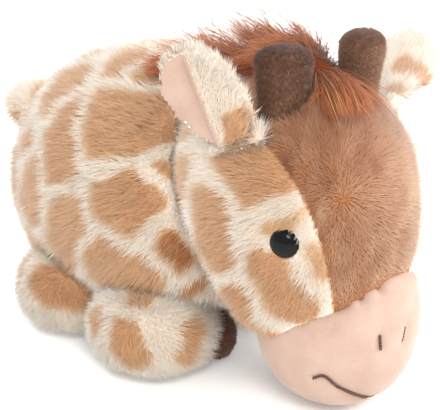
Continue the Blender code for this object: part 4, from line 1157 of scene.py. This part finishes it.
def growHair(name, skin, body, material, seed, shareOf, combOf, avoid):
    rng = np.random.default_rng(seed)
    p, n = rootsOn(skin, mane["density"], rng)
    keep = (n[:, 2] > -0.25) & (shareOf(p) > 0.2)
    p, n = p[keep], n[keep]
    flow = combOf(p)
    size = mane["length"] * mm * rng.uniform(0.55, 1.15, len(p)) * shareOf(p)
    steps = mane["steps"]
    clear, layer = mane["clear"] * mm, mane["layer"] * mm
    sway = waveVectors(p / mm, 7.0, seed + 1) * 0.35 + rng.normal(size=p.shape) * 0.16
    lines = np.empty((len(p), steps + 1, 3))
    lines[:, 0] = p - n * 0.5 * mm
    wisp = (rng.random(len(p)) < mane["wisps"])[:, None]
    size = size * np.where(wisp[:, 0], 1.5, 1.0)
    way = normalised(n * np.where(wisp, 0.7, 0.26) + flow * 0.9 + sway)
    for i in range(steps):
        t = (i + 1) / steps
        fall = np.array([0.0, 0.0, -0.6 * t]) * np.where(wisp, 0.2, 1.0)
        bent = normalised(way * (1 - 0.8 * t) + flow * (0.9 * t) + sway * 0.6 + fall)
        lines[:, i + 1] = lines[:, i] + bent * (size / steps)[:, None]
    locks = rng.choice(np.flatnonzero(~wisp[:, 0]), mane["locks"], replace=False)
    nearest = np.argmin(np.linalg.norm(p[:, None] - p[locks][None], axis=2), axis=1)
    pull = mane["gather"] * (np.arange(steps + 1) / steps) ** 1.4 * np.where(wisp, 0.0, 1.0)
    gathered = lines[locks][nearest] + (p - p[locks][nearest])[:, None] * 0.12
    lines = lines * (1 - pull[:, :, None]) + gathered * pull[:, :, None]
    for tree, low, high in avoid:
        for i in range(1, steps + 1):
            close = (lines[:, i] > low).all(axis=1) & (lines[:, i] < high).all(axis=1)
            for k in np.flatnonzero(close):
                near, normal, _, _ = tree.find_nearest(lines[k, i])
                away = (Vector(lines[k, i]) - near).dot(normal)
                if away < clear:
                    lines[k, i] = np.array(near + normal * (clear + layer * (k % 7) / 7))
    lockTone = rng.uniform(-0.14, 0.14, mane["locks"])[nearest]
    tone = np.clip(0.60 + lockTone + rng.normal(size=len(p)) * 0.09, 0.02, 0.98)
    obj = strandMesh(name, lines, n, mane["width"] * mm, tone, rng, 0.9)
    dress(obj, material)
    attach(obj, body)
    print(f"{name}: {len(p)} strands, {len(obj.data.polygons)} triangles")


def crownFlow(p):  # back over the neck, and a fringe down the brow
    front = smoothStep(-96 * mm, -106 * mm, p[:, 1])[:, None]
    back = np.array([-0.05, 1.0, 0.12])
    fringe = np.array([0.12, -0.75, -0.75])
    side = np.stack([np.sign(p[:, 0] + 3.5 * mm) * 0.25, np.zeros(len(p)), np.zeros(len(p))], axis=1)
    return normalised(back * (1 - front) + fringe * front + side)


def crownShare(p):  # longer towards the neck
    return 1.0 + 0.5 * smoothStep(-85 * mm, -66 * mm, p[:, 1])


def withersFlow(p):  # it stands behind the neck and lies down towards the back
    front = smoothStep(-16 * mm, -32 * mm, p[:, 1])[:, None]
    aside = np.stack([np.sign(p[:, 0]) * 0.3, np.zeros(len(p)), np.zeros(len(p))], axis=1)
    standing, lying = np.array([-0.12, 0.75, 0.45]), np.array([-0.15, 1.0, -0.05])
    return normalised(standing * front + lying * (1 - front) + aside)


def withersShare(p):  # long behind the neck, and none where the back's own pile begins
    return 1.05 * smoothStep(-8 * mm, -30 * mm, p[:, 1])


def makeManes(made, skins):
    for name, node, body, drop, (start, end) in (
            ("maneCrownSkin", "mane_crown", "head", mane["rearDrop"], (-92, -68)),
            ("maneWithersSkin", "mane_withers", "body", mane["sunk"], (-22, -10))):
        skin = sewSkin(name, [node], body, mane["voxel"], rounds=4)
        co = points(skin.data)
        low = co[:, 2].min()
        co[:, 2] = low + (co[:, 2] - low) * mane["flat"]
        co[:, 2] -= drop * mm * smoothStep(start * mm, end * mm, co[:, 1])
        setPoints(skin.data, co)
        dress(skin, made["maneBacking"], np.full(len(co), mane["backing"]))
        skins[node] = skin


def growManes(made, skins):
    headTree, bodyTree = treeOf(skins["head"]), treeOf(skins["body"])
    horns = [treeOf(skins["horn" + side]) for side in sides]
    growHair("maneCrownHair", skins["mane_crown"], "head", made["mane"], 91, crownShare, crownFlow,
             [headTree] + horns)
    growHair("maneWithersHair", skins["mane_withers"], "body", made["mane"], 95, withersShare, withersFlow,
             [bodyTree])


placeCamera()
lightWorld()
hangLamps()
layFloor()
print("stage ready")
made = buildMaterials()
print("materials ready")
skins = {}
for make in (makeBody, makeNeck, makeHead, makeMuzzle, makeEyes, makeStitches, makeBrown, makeLegs, makeEars,
             makeManes):
    make(made, skins)
print("skins ready")
for grow in (growBody, growNeck, growHead, growBrown, growLegs, growEars, growManes):
    grow(made, skins)
print("pile ready")
